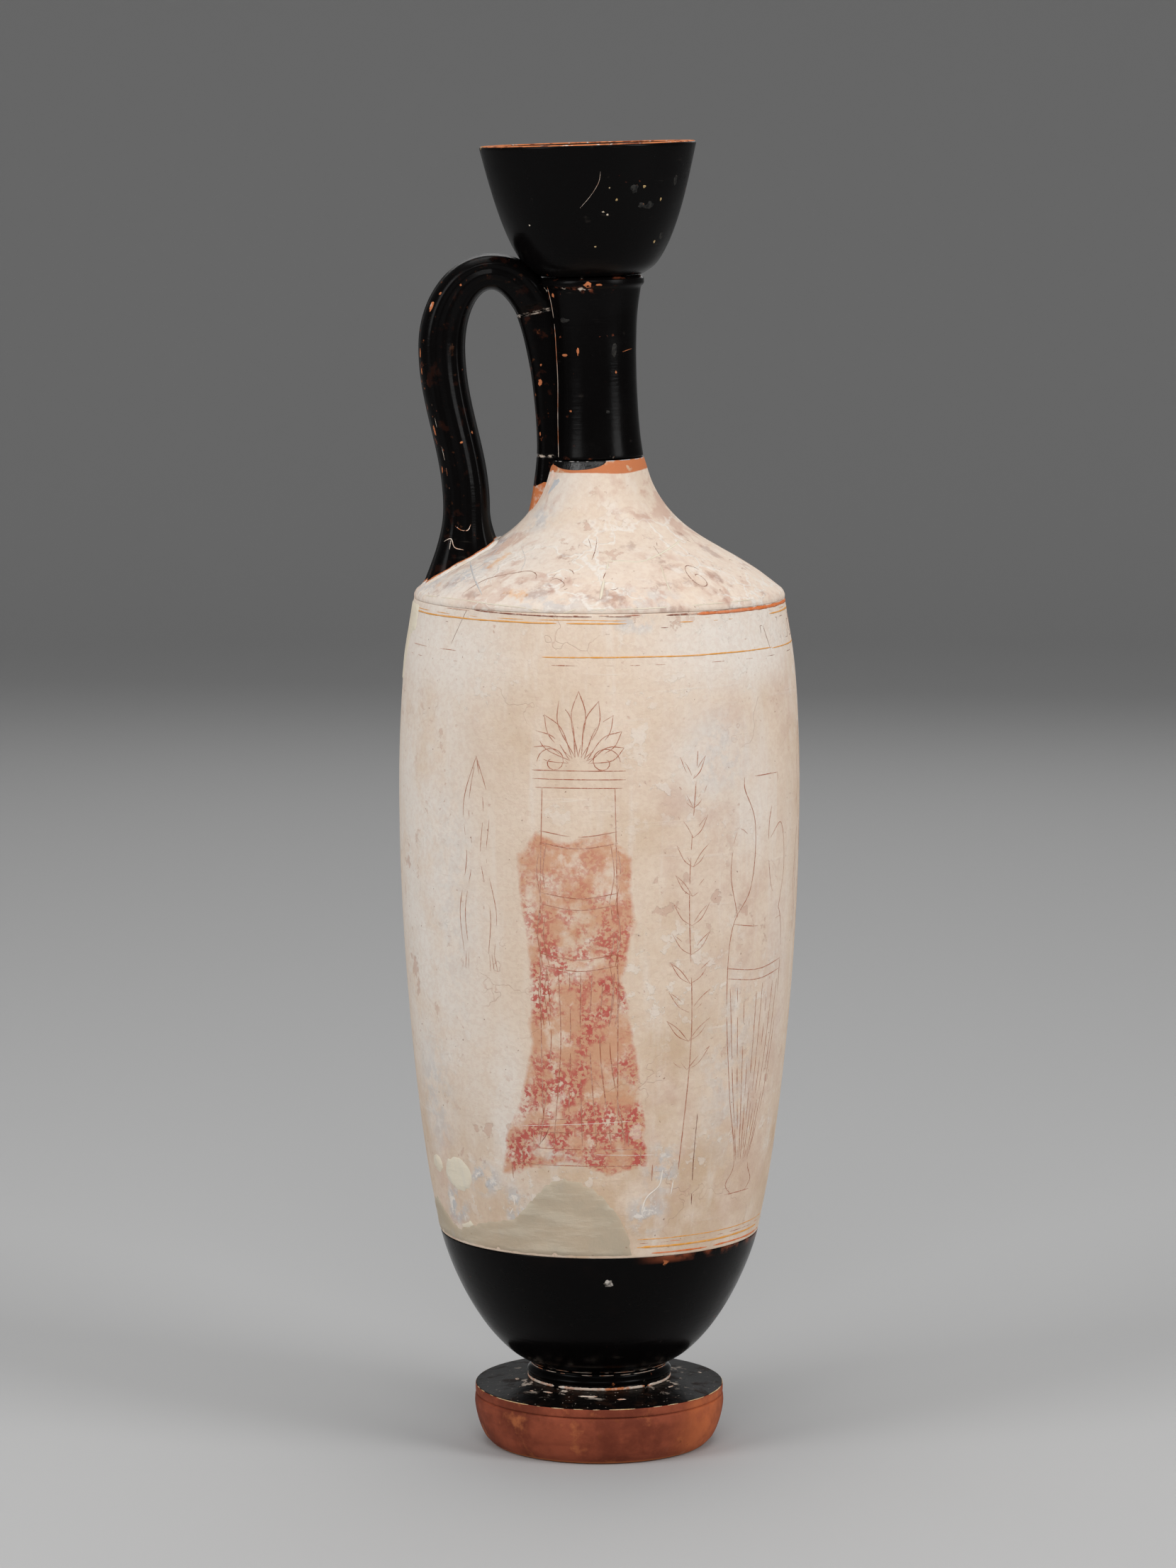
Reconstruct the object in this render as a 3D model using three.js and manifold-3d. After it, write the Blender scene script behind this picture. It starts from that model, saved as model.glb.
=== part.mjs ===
// A tall one-handled oil flask of fired clay, built from the pieces that a potter throws,
// models and lutes together, with the plaster that fills its later losses.
// Millimetres, +Z up, origin at the centre of the resting plane, front towards -Y and
// handle towards -X.

import * as THREE from 'three';
import { mergeVertices } from 'three/addons/utils/BufferGeometryUtils.js';
import Module from 'manifold-3d';

const wasm = await Module();
wasm.setup();

// Fits
const jointGap = 0.3;
const weldDistance = 1e-4;

// How finely the pieces are cut: sides round the axis, and steps up each line
const roundSides = 48;
const innerSides = 32;
const footSteps = 5;
const bowlSteps = 7;
const wallSteps = 8;
const wallInsideSteps = 4;
const shoulderSteps = 8;
const shoulderInsideSteps = 7;
const cupSteps = 7;
const neckSteps = 6;
const mouthSteps = 7;
const insideSteps = 5;

// The stretch of each outer line that the inside follows, from 0 at its foot to 1 at its top
const bowlInsideSpan = [0.02, 0.94];
const wallInsideSpan = [0.06, 0.97];
const shoulderInsideSpan = [0.1, 0.9];
const cupInsideSpan = [0.06, 0.96];
const mouthInsideSpan = [0.16, 0.94];
const mouthLandingSpan = [0.02, 1];

// Foot: a thick disc, hollowed underneath, with a scored step below its upper band
const footRestRadius = 32.5;
const footRestWidth = 5;
const footSideLeaveOut = 3.7;
const footSideLeaveUp = 1.8;
const footSideArriveIn = 0.9;
const footSideArriveUp = 2;
const footEdgeRadius = 37.4;
const footStepHeight = 14.4;
const footStepWidth = 0.7;
const footStepDepth = 0.7;
const footBandHeight = 2.5;
const footTopRise = 1.8;
const footSeatRadius = 22.2;
const footHollowDepth = 9;
const footHollowRadius = 22;
const footHollowDome = 2.25;

// Peg under the body, and the socket in the foot that takes it
const pegRadius = 14;
const pegDepth = 4;

// Fillet: the moulded ring between foot and body
const filletHeight = 4.9;
const filletRadius = 21.6;
const filletBead = 0.9;
const filletGroove = 0.45;
const filletGrooveHeight = 1.17;
const filletSwell = 0.3;
const filletTopRadius = 20.6;

// Body: a black bowl below, a white wall above, thrown in two sections
const stemRadius = 20.3;
const bowlHeight = 41.1;
const bowlThickness = 4.5;
const bowlLeaveOut = 15.6;
const bowlLeaveUp = 6.7;
const blackLineRadius = 47.9;
const bodyFlare = 0.225;
const bowlArriveUp = 9.6;
const lapHeight = 5;
const lapSetback = 2.5;
const lapThickness = 2.2;
const wallHeight = 190.6;
const wallThickness = 4.2;
const wallLeaveUp = 42.2;
const wallArriveOut = 9.9;
const wallArriveUp = 43.6;
const shoulderEdgeRadius = 55.1;

// Vent: the small hole low in the bowl that lets air out of the space round the oil cup
const ventRadius = 1;
const ventSides = 10;
const ventAngle = 3.8;
const ventDrop = 7.7;

// Shoulder: a sloping ring with an upturned collar, set on the wall by a spigot
const edgeHeight = 1;
const edgeRound = 1.2;
const shoulderRise = 39.1;
const shoulderLeaveIn = 16.7;
const shoulderLeaveUp = 14.5;
const collarArriveIn = 5.3;
const collarArriveUp = 25.4;
const collarRadius = 13.9;
const shoulderThickness = 4.8;
const shoulderSpigotDepth = 4;
const shoulderSpigotThickness = 3;

// Neck and mouth
const boreRadius = 7.5;
const spigotThickness = 2.5;
const neckSpigotDepth = 4.7;
const neckHeight = 49.9;
const neckBaseRadius = 13.8;
const neckTopRadius = 14.5;
const neckLeaveIn = 1.6;
const neckLeaveUp = 8.7;
const neckArriveOut = 2.9;
const neckArriveUp = 11.2;
const ridgeHeight = 3.5;
const ridgeRadius = 15.5;
const ridgeLowShare = 0.3;
const ridgeHighShare = 0.75;
const mouthSpigotDepth = 3.7;
const mouthHeight = 38.7;
const mouthBaseRadius = 15.1;
const mouthRimRadius = 32;
const mouthLeaveOut = 9.5;
const mouthLeaveUp = 2.9;
const mouthArriveOut = 2;
const mouthArriveUp = 8;
const mouthThickness = 4.3;
const rimChamfer = 0.6;
const mouthFloorDrop = 1;

// Lean: the neck and everything on it tips towards the handle, and the shoulder takes the bend
const leanDegrees = 1.72;
const leanStartDrop = 35.3;
const leanLength = 20;

// Oil cup: the small container that hangs inside, under the neck
const cupBellyLeaveOut = 30;
const cupBellyArriveIn = 10;
const cupBellyArriveUp = 50.6;
const cupDepth = 92;
const cupThickness = 3.2;
const cupRimOuter = 19.5;
const cupRimInner = 15.5;
const cupSeatDrop = 23.1;
const cupSeatMargin = 1;

// Handle: a strap that rises from the shoulder, stands upright at its waist and at its belly,
// lies level at its crown, and comes down on to the neck. Reaches are from the axis, and
// heights from the shoulder's edge.
const strapSides = 14;
const strapSpans = 4;
const strapSpanSteps = 9;
const strapSquareness = 0.75;
const strapRise = 92.8;
const strapThickness = 13.9;
const strapToeReach = 53.4;
const strapToeDrop = 1.2;
const strapToeLeaveIn = 2.5;
const strapToeLeaveUp = 7;
const strapHeelReach = 28;
const strapHeelHeight = 8.2;
const strapHeelLeaveOut = 1.5;
const strapHeelLeaveUp = 5;
const strapWaistReach = 46.4;
const strapWaistHeight = 24;
const strapBellyReach = 53.6;
const strapBellyHeight = 71.8;
const strapCrownReach = 31.8;
const strapCrownHeight = 99.5;
const strapCrownThickness = 10.8;
const strapTipReach = 12;
const strapTipHeight = 84;
const strapTipArriveIn = 4;
const strapTipArriveDown = 8;
const strapBreakReach = 24.3;
const strapBreakHeight = 81.1;
const strapBreakArriveIn = 1.5;
const strapBreakArriveDown = 3;
const strapRootWidth = 23.5;
const strapWidth = 19;
const strapTipWidth = 11;
const quarterRound = 0.55;
const gentleBend = 0.37;

// Tongue: the strap's end, drawn down the neck below the handle's break to a toe on the collar
const tongueToeReach = 21.8;
const tongueToeHeight = 20.8;
const tongueToeLeaveIn = 2;
const tongueToeLeaveUp = 7;
const tongueWaistReach = 18.5;
const tongueWaistHeight = 43;
const tongueWaistArriveUp = 8;
const tongueWaistLeaveUp = 12;
const tongueBreakArriveOut = 3.2;
const tongueBreakArriveUp = 9.5;
const tongueWidth = 10;
const tongueSpans = 2;
const tongueSpanSteps = 7;
const tongueBuried = 9;
const breakRise = 0.24;

// Front fill: a low band of plaster with a dome on its right, a ledge beside that and a horn on
// its left. Angles are degrees round from the front, and levels are shares of the dome's height.
const frontFillHeight = 25.6;
const frontFillEnd = 12.4;
const domeSide = 0.45;
const domeCrest = -11;
const domeCrestLength = 9;
const domeFoot = -31;
const domeFootLength = 3;
const ledgeLevel = 0.44;
const ledgeEnd = -41;
const ledgeEndLevel = 0.38;
const dip = -59;
const dipLevel = 0.2;
const horn = -75;
const hornLevel = 0.49;
const frontFillStart = -84;
const frontFillStartLevel = 0.4;
const domeSteps = 5;

// Upper fill: a strip of plaster at the left, with a thin tail below it
const upperFillHeight = 25;
const upperFillBack = -102;
const upperStripEdge = -73;
const upperStripHeight = 9;
const upperTailEdge = -78.5;
const upperTailDrop = 10.9;
const upperTailEnd = -84;

// Oval plugs low on the left
const largePlugWidth = 14;
const largePlugHeight = 12;
const largePlugAngle = -54;
const largePlugLift = 22;
const smallPlugWidth = 8.8;
const smallPlugHeight = 6.8;
const smallPlugAngle = -67.5;
const smallPlugLift = 23.2;
const plugSides = 14;

// Cuts through the wall: how far they reach past its edge, and how far a sharp corner may reach
// out when a cut is widened
const cutLap = 3;
const cutSteps = 9;
const sharpestCorner = 0.5;

// Heights that follow from the sizes above
const stepTop = footStepHeight + footStepWidth;
const bandTop = stepTop + footBandHeight;
const seatHeight = bandTop + footTopRise;
const bowlBase = seatHeight + filletHeight;
const blackLine = bowlBase + bowlHeight;
const wallTop = blackLine + wallHeight;
const slopeBase = wallTop + edgeHeight + edgeRound;
const collarTop = slopeBase + shoulderRise;
const neckBase = collarTop + jointGap;
const ridgeBase = neckBase + neckHeight;
const neckTop = ridgeBase + ridgeHeight;
const mouthBase = neckTop + jointGap;
const rimHeight = mouthBase + mouthHeight;
const cupSeat = collarTop - cupSeatDrop;
const socketRadius = pegRadius + jointGap;
const spigotRadius = boreRadius + spigotThickness;
const counterboreRadius = spigotRadius + jointGap;
const lapRadius = blackLineRadius - lapSetback;

// A smooth line that leaves its start along one handle and arrives at its end along another.
function smoothLine(start, leave, arrive, end) {
  const [x0, y0] = start;
  const [x1, y1] = end;
  return new THREE.CubicBezierCurve(
    new THREE.Vector2(x0, y0),
    new THREE.Vector2(x0 + leave[0], y0 + leave[1]),
    new THREE.Vector2(x1 - arrive[0], y1 - arrive[1]),
    new THREE.Vector2(x1, y1),
  );
}

// Points on a line that climbs the outside of a wall, moved towards the inside by a thickness,
// over a span of the line that is given from 0 at its start to 1 at its end.
function along(line, steps, thickness = 0, [from, to] = [0, 1]) {
  const points = [];
  for (let i = 0; i <= steps; i += 1) {
    const t = from + ((to - from) * i) / steps;
    const point = line.getPoint(t);
    const tangent = line.getTangent(t);
    points.push([point.x - tangent.y * thickness, point.y + tangent.x * thickness]);
  }
  return points;
}

function lathe(outline, sides = roundSides) {
  const points = outline.map(([radius, height]) => new THREE.Vector2(radius, height));
  return new THREE.LatheGeometry(points, sides).rotateX(Math.PI / 2);
}

// Tips what stands above the start of the lean, as one smooth bend and then a straight tilt.
function leaned(geometry) {
  const tilt = THREE.MathUtils.degToRad(leanDegrees);
  const start = collarTop - leanStartDrop;
  const bendRadius = leanLength / tilt;
  const position = geometry.attributes.position;
  for (let i = 0; i < position.count; i += 1) {
    const rise = Math.max(0, position.getZ(i) - start);
    const turn = (Math.min(rise, leanLength) / leanLength) * tilt;
    const straight = Math.max(0, rise - leanLength);
    const low = Math.min(position.getZ(i), start);
    const axisX = -bendRadius * (1 - Math.cos(turn)) - straight * Math.sin(turn);
    const axisZ = low + bendRadius * Math.sin(turn) + straight * Math.cos(turn);
    const across = position.getX(i);
    position.setX(i, axisX + across * Math.cos(turn));
    position.setZ(i, axisZ + across * Math.sin(turn));
  }
  return geometry;
}

// A closed geometry as a solid, with shared corners merged and flat triangles left out.
function toSolid(geometry) {
  const bare = geometry.clone();
  bare.deleteAttribute('normal');
  bare.deleteAttribute('uv');
  const welded = mergeVertices(bare, weldDistance);
  const corners = welded.index.array;
  const kept = [];
  for (let i = 0; i < corners.length; i += 3) {
    const [a, b, c] = [corners[i], corners[i + 1], corners[i + 2]];
    if (a !== b && b !== c && c !== a) {
      kept.push(a, b, c);
    }
  }
  const vertProperties = Float32Array.from(welded.attributes.position.array);
  const triVerts = Uint32Array.from(kept);
  return new wasm.Manifold(new wasm.Mesh({ numProp: 3, vertProperties, triVerts }));
}

function toGeometry(solid) {
  const mesh = solid.getMesh();
  const geometry = new THREE.BufferGeometry();
  geometry.setAttribute('position', new THREE.BufferAttribute(mesh.vertProperties, 3));
  geometry.setIndex(new THREE.BufferAttribute(mesh.triVerts, 1));
  geometry.computeVertexNormals();
  return geometry;
}

// The outer lines of the thrown pieces
const bowlLine = smoothLine(
  [stemRadius, bowlBase],
  [bowlLeaveOut, bowlLeaveUp],
  [bowlArriveUp * bodyFlare, bowlArriveUp],
  [blackLineRadius, blackLine],
);
const wallLine = smoothLine(
  [blackLineRadius, blackLine],
  [wallLeaveUp * bodyFlare, wallLeaveUp],
  [-wallArriveOut, wallArriveUp],
  [shoulderEdgeRadius, wallTop],
);
const shoulderLine = smoothLine(
  [shoulderEdgeRadius - edgeRound / 2, slopeBase],
  [-shoulderLeaveIn, shoulderLeaveUp],
  [-collarArriveIn, collarArriveUp],
  [collarRadius, collarTop],
);
const neckLine = smoothLine(
  [neckBaseRadius, neckBase],
  [-neckLeaveIn, neckLeaveUp],
  [neckArriveOut, neckArriveUp],
  [neckTopRadius, ridgeBase],
);
const mouthLine = smoothLine(
  [mouthBaseRadius, mouthBase],
  [mouthLeaveOut, mouthLeaveUp],
  [mouthArriveOut, mouthArriveUp],
  [mouthRimRadius, rimHeight - rimChamfer],
);

function makeFoot() {
  const side = smoothLine(
    [footRestRadius, 0],
    [footSideLeaveOut, footSideLeaveUp],
    [-footSideArriveIn, footSideArriveUp],
    [footEdgeRadius, footStepHeight],
  );
  return toSolid(lathe([
    [0, footHollowDepth],
    [footHollowRadius, footHollowDepth - footHollowDome],
    [footRestRadius - footRestWidth, 0],
    ...along(side, footSteps),
    [footEdgeRadius - footStepDepth, footStepHeight + footStepWidth / 2],
    [footEdgeRadius, stepTop],
    [footEdgeRadius, bandTop],
    [footSeatRadius, seatHeight],
    [socketRadius, seatHeight],
    [socketRadius, seatHeight - pegDepth],
    [0, seatHeight - pegDepth],
  ]));
}

function makeFillet() {
  return toSolid(lathe([
    [socketRadius, seatHeight],
    [filletRadius, seatHeight],
    [filletRadius, seatHeight + filletBead],
    [filletRadius - filletGroove, seatHeight + filletGrooveHeight],
    [filletRadius + filletSwell, seatHeight + filletHeight / 2],
    [filletTopRadius, bowlBase - filletBead],
    [filletTopRadius, bowlBase],
    [socketRadius, bowlBase],
    [socketRadius, seatHeight],
  ]));
}

function makeBowl() {
  const inside = along(bowlLine, insideSteps, bowlThickness, bowlInsideSpan).reverse();
  const floor = inside[inside.length - 1][1];
  const bowl = toSolid(lathe([
    [0, seatHeight - pegDepth + jointGap],
    [pegRadius, seatHeight - pegDepth + jointGap],
    [pegRadius, bowlBase],
    ...along(bowlLine, bowlSteps),
    [lapRadius, blackLine],
    [lapRadius, blackLine + lapHeight],
    [lapRadius - lapThickness, blackLine + lapHeight],
    ...inside,
    [0, floor],
  ]));
  const drillLength = blackLineRadius - lapRadius + bowlThickness * 3;
  const drill = new THREE.CylinderGeometry(ventRadius, ventRadius, drillLength, ventSides);
  drill.translate(0, -blackLineRadius, 0);
  drill.rotateZ(THREE.MathUtils.degToRad(ventAngle));
  drill.translate(0, 0, blackLine - ventDrop);
  return bowl.subtract(toSolid(drill));
}

function makeWall() {
  return toSolid(lathe([
    [lapRadius + jointGap, blackLine],
    ...along(wallLine, wallSteps),
    [shoulderEdgeRadius - wallThickness, wallTop],
    ...along(wallLine, wallInsideSteps, wallThickness, wallInsideSpan).reverse(),
    [lapRadius + jointGap, blackLine + lapHeight + jointGap],
    [lapRadius + jointGap, blackLine],
  ]));
}

function makeShoulder() {
  const spigotOuter = shoulderEdgeRadius - wallThickness - jointGap;
  const spigotInner = spigotOuter - shoulderSpigotThickness;
  const clearsCup = ([radius, height]) => (
    height < cupSeat - cupSeatMargin && radius < spigotInner - cupSeatMargin
  );
  const inside = along(shoulderLine, shoulderInsideSteps, shoulderThickness, shoulderInsideSpan)
    .filter(clearsCup)
    .reverse();
  return leaned(lathe([
    [spigotInner, wallTop - shoulderSpigotDepth],
    [spigotOuter, wallTop - shoulderSpigotDepth],
    [spigotOuter, wallTop],
    [shoulderEdgeRadius, wallTop],
    [shoulderEdgeRadius, wallTop + edgeHeight],
    ...along(shoulderLine, shoulderSteps),
    [counterboreRadius, collarTop],
    [counterboreRadius, neckBase - neckSpigotDepth - jointGap],
    [boreRadius, neckBase - neckSpigotDepth - jointGap],
    [boreRadius, cupSeat],
    [cupRimOuter + cupSeatMargin, cupSeat],
    ...inside,
    [spigotInner, wallTop],
    [spigotInner, wallTop - shoulderSpigotDepth],
  ]));
}

function makeOilCup() {
  const rim = cupSeat - jointGap;
  const bottom = rim - cupDepth;
  const belly = smoothLine(
    [0, bottom],
    [cupBellyLeaveOut, 0],
    [-cupBellyArriveIn, cupBellyArriveUp],
    [cupRimOuter, rim],
  );
  return leaned(lathe([
    ...along(belly, cupSteps),
    [cupRimInner, rim],
    ...along(belly, insideSteps, cupThickness, cupInsideSpan).reverse(),
    [0, bottom + cupThickness],
  ], innerSides));
}

function makeNeck() {
  return leaned(lathe([
    [boreRadius, neckBase - neckSpigotDepth],
    [spigotRadius, neckBase - neckSpigotDepth],
    [spigotRadius, neckBase],
    ...along(neckLine, neckSteps),
    [ridgeRadius, ridgeBase + ridgeHeight * ridgeLowShare],
    [ridgeRadius, ridgeBase + ridgeHeight * ridgeHighShare],
    [neckTopRadius, neckTop],
    [counterboreRadius, neckTop],
    [counterboreRadius, mouthBase - mouthSpigotDepth - jointGap],
    [boreRadius, mouthBase - mouthSpigotDepth - jointGap],
    [boreRadius, neckBase - neckSpigotDepth],
  ], innerSides));
}

function makeMouth() {
  const inside = along(mouthLine, insideSteps, mouthThickness, mouthInsideSpan).reverse();
  return leaned(lathe([
    [boreRadius, mouthBase - mouthSpigotDepth],
    [spigotRadius, mouthBase - mouthSpigotDepth],
    [spigotRadius, mouthBase],
    ...along(mouthLine, mouthSteps),
    [mouthRimRadius - rimChamfer, rimHeight],
    [mouthRimRadius - mouthThickness, rimHeight],
    ...inside,
    [boreRadius, inside[inside.length - 1][1] - mouthFloorDrop],
    [boreRadius, mouthBase - mouthSpigotDepth],
  ]));
}

// The outside of everything that the handle lands on, a joint's gap larger all round
function makeLandings() {
  const shoulder = toSolid(leaned(lathe([
    [0, wallTop],
    [shoulderEdgeRadius + jointGap, wallTop],
    ...along(shoulderLine, shoulderSteps, -jointGap),
    [0, collarTop + jointGap],
  ])));
  const neck = toSolid(leaned(lathe([
    [0, collarTop - collarArriveUp],
    [neckBaseRadius + jointGap, collarTop - jointGap],
    ...along(neckLine, neckSteps, -jointGap),
    [ridgeRadius + jointGap, ridgeBase + ridgeHeight * ridgeLowShare - jointGap],
    [ridgeRadius + jointGap, neckTop],
    ...along(mouthLine, mouthSteps, -jointGap, mouthLandingSpan),
    [0, rimHeight],
  ])));
  return shoulder.add(neck);
}

// A round-cornered section, one unit wide, from 0 at its inner edge to 1 at its outer edge
function strapSection() {
  const rounded = (value) => Math.sign(value) * Math.abs(value) ** strapSquareness;
  const section = new THREE.Shape();
  for (let i = 0; i < strapSides; i += 1) {
    const turn = (i / strapSides) * Math.PI * 2;
    const x = rounded(Math.cos(turn)) / 2;
    const y = (1 + rounded(Math.sin(turn))) / 2;
    if (i === 0) {
      section.moveTo(x, y);
    } else {
      section.lineTo(x, y);
    }
  }
  section.closePath();
  return section;
}

// A height on the handle, which stretches with the distance from the shoulder to the mouth
function handleHeight(height) {
  return slopeBase + (height * (neckTop - slopeBase)) / strapRise;
}

// A place on the handle: its reach from the axis and its height above the shoulder's edge
function onHandle(reach, height) {
  return [-reach, handleHeight(height)];
}

// An upright stretch that sways from one reach to another
function sway(fromReach, toReach) {
  const bend = (strapBellyHeight - strapWaistHeight) * gentleBend;
  return smoothLine(
    onHandle(fromReach, strapWaistHeight),
    [0, bend],
    [0, bend],
    onHandle(toReach, strapBellyHeight),
  );
}

// A quarter of an oval, from upright at a belly to level at a crown
function shoulderOfStrap(bellyReach, crownHeight) {
  return smoothLine(
    onHandle(bellyReach, strapBellyHeight),
    [0, (crownHeight - strapBellyHeight) * quarterRound],
    [(bellyReach - strapCrownReach) * quarterRound, 0],
    onHandle(strapCrownReach, crownHeight),
  );
}

// The strap's outer edge and its inner edge, each as one line for every span
function strapEdges() {
  const innerWaist = strapWaistReach - strapThickness;
  const innerBelly = strapBellyReach - strapThickness;
  const innerCrown = strapCrownHeight - strapCrownThickness;
  const outer = [
    smoothLine(
      onHandle(strapToeReach, -strapToeDrop),
      [strapToeLeaveIn, strapToeLeaveUp],
      [0, strapWaistHeight * gentleBend],
      onHandle(strapWaistReach, strapWaistHeight),
    ),
    sway(strapWaistReach, strapBellyReach),
    shoulderOfStrap(strapBellyReach, strapCrownHeight),
    smoothLine(
      onHandle(strapCrownReach, strapCrownHeight),
      [(strapCrownReach - strapTipReach) * quarterRound, 0],
      [strapTipArriveIn, -strapTipArriveDown],
      onHandle(strapTipReach, strapTipHeight),
    ),
  ];
  const inner = [
    smoothLine(
      onHandle(strapHeelReach, strapHeelHeight),
      [-strapHeelLeaveOut, strapHeelLeaveUp],
      [0, (strapWaistHeight - strapHeelHeight) * gentleBend],
      onHandle(innerWaist, strapWaistHeight),
    ),
    sway(innerWaist, innerBelly),
    shoulderOfStrap(innerBelly, innerCrown),
    smoothLine(
      onHandle(strapCrownReach, innerCrown),
      [(strapCrownReach - strapBreakReach) * gentleBend, 0],
      [strapBreakArriveIn, -strapBreakArriveDown],
      onHandle(strapBreakReach, strapBreakHeight),
    ),
  ];
  return { outer, inner };
}

// A place on a chain of lines, from 0 at the start of the first to 1 at the end of the last
function chainPoint(lines, t) {
  const place = Math.min(t, 1) * lines.length;
  const span = Math.min(Math.floor(place), lines.length - 1);
  return lines[span].getPoint(place - span);
}

// The strap flares at its root and narrows from the crown to the tip.
function strapWidthAt(t) {
  const place = t * strapSpans;
  const flare = (strapRootWidth - strapWidth) * (1 - Math.min(1, place)) ** 2;
  const taper = (strapWidth - strapTipWidth) * Math.max(0, place - (strapSpans - 1));
  return strapWidth + flare - taper;
}

// A straight bar of the strap's section, one unit long, for bending
function plainBar(steps) {
  return new THREE.ExtrudeGeometry(strapSection(), { steps, depth: 1, bevelEnabled: false });
}

// Lays a straight bar along the two edges, so that its section fills the strap between them.
function makeStrap() {
  const { outer, inner } = strapEdges();
  const bar = plainBar(strapSpans * strapSpanSteps);
  const position = bar.attributes.position;
  for (let i = 0; i < position.count; i += 1) {
    const t = THREE.MathUtils.clamp(position.getZ(i), 0, 1);
    const point = chainPoint(inner, t).lerp(chainPoint(outer, t), position.getY(i));
    position.setXYZ(i, point.x, position.getX(i) * strapWidthAt(t), point.y);
  }
  return toSolid(bar);
}

function largestBody(solid) {
  return solid.decompose().reduce((a, b) => (b.volume() > a.volume() ? b : a));
}

function makeHandle(landings) {
  return largestBody(makeStrap().subtract(landings));
}

// The tongue fills the space between its free edge and the neck, and its top follows the break.
function makeTongue(landings) {
  const edge = [
    smoothLine(
      onHandle(tongueToeReach, tongueToeHeight),
      [tongueToeLeaveIn, tongueToeLeaveUp],
      [0, tongueWaistArriveUp],
      onHandle(tongueWaistReach, tongueWaistHeight),
    ),
    smoothLine(
      onHandle(tongueWaistReach, tongueWaistHeight),
      [0, tongueWaistLeaveUp],
      [-tongueBreakArriveOut, tongueBreakArriveUp],
      onHandle(strapBreakReach, strapBreakHeight),
    ),
  ];
  const bar = plainBar(tongueSpans * tongueSpanSteps);
  const position = bar.attributes.position;
  for (let i = 0; i < position.count; i += 1) {
    const t = THREE.MathUtils.clamp(position.getZ(i), 0, 1);
    const point = chainPoint(edge, t);
    const reach = THREE.MathUtils.lerp(-point.x, tongueBuried, 1 - position.getY(i));
    const height = point.y - jointGap + (-point.x - reach) * breakRise * t;
    position.setXYZ(i, -reach, position.getX(i) * tongueWidth, height);
  }
  return largestBody(toSolid(bar).subtract(landings));
}

// The front fill's outline, in degrees and millimetres above the black line
function frontFillOutline() {
  const domeRight = smoothLine(
    [frontFillEnd, 0],
    [0, domeSide],
    [-domeCrestLength, 0],
    [domeCrest, 1],
  );
  const domeLeft = smoothLine(
    [domeCrest, 1],
    [-domeCrestLength, 0],
    [-domeFootLength, 0],
    [domeFoot, ledgeLevel],
  );
  const crest = [
    ...along(domeRight, domeSteps),
    ...along(domeLeft, domeSteps).slice(1),
    [ledgeEnd, ledgeEndLevel],
    [dip, dipLevel],
    [horn, hornLevel],
    [frontFillStart, frontFillStartLevel],
  ].map(([degrees, share]) => [degrees, share * frontFillHeight]);
  return [[frontFillStart, -cutLap], [frontFillEnd, -cutLap], ...crest];
}

// The upper fill's outline, in degrees and millimetres from the wall's upper edge
function upperFillOutline() {
  return [
    [upperFillBack, -upperFillHeight],
    [upperTailEnd, -upperFillHeight],
    [upperTailEdge, -upperTailDrop],
    [upperStripEdge, -upperStripHeight],
    [upperStripEdge, cutLap],
    [upperFillBack, cutLap],
  ];
}

// A block that goes radially through the wall, over an outline drawn on the wall's outside
function radialBlock(outline, reference) {
  const shape = new THREE.Shape(outline.map(([degrees, lift]) => new THREE.Vector2(degrees, lift)));
  const block = new THREE.ExtrudeGeometry(shape, { steps: cutSteps, depth: 1, bevelEnabled: false });
  const inner = cupRimOuter;
  const outer = shoulderEdgeRadius * 2;
  const position = block.attributes.position;
  for (let i = 0; i < position.count; i += 1) {
    const turn = THREE.MathUtils.degToRad(position.getX(i));
    const radius = inner + (outer - inner) * position.getZ(i);
    const height = reference + position.getY(i);
    position.setXYZ(i, radius * Math.sin(turn), -radius * Math.cos(turn), height);
  }
  return toSolid(block);
}

// An outline moved outwards by a distance, in degrees across and millimetres up
function grown(outline, distance, degreesPerMillimetre) {
  return outline.map(([x, y], i) => {
    const [ax, ay] = outline[(i + outline.length - 1) % outline.length];
    const [bx, by] = outline[(i + 1) % outline.length];
    const before = new THREE.Vector2((x - ax) / degreesPerMillimetre, y - ay).normalize();
    const after = new THREE.Vector2((bx - x) / degreesPerMillimetre, by - y).normalize();
    const normal = new THREE.Vector2(before.y + after.y, -before.x - after.x).normalize();
    const stretch = distance / Math.max(sharpestCorner, normal.x * before.y - normal.y * before.x);
    return [x + normal.x * stretch * degreesPerMillimetre, y + normal.y * stretch];
  });
}

// An oval outline round a centre, in degrees and millimetres
function oval(width, height, angle, lift, degreesPerMillimetre) {
  const points = [];
  for (let i = 0; i < plugSides; i += 1) {
    const turn = (i / plugSides) * Math.PI * 2;
    const x = angle + Math.cos(turn) * (width / 2) * degreesPerMillimetre;
    points.push([x, lift + Math.sin(turn) * (height / 2)]);
  }
  return points;
}

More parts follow.
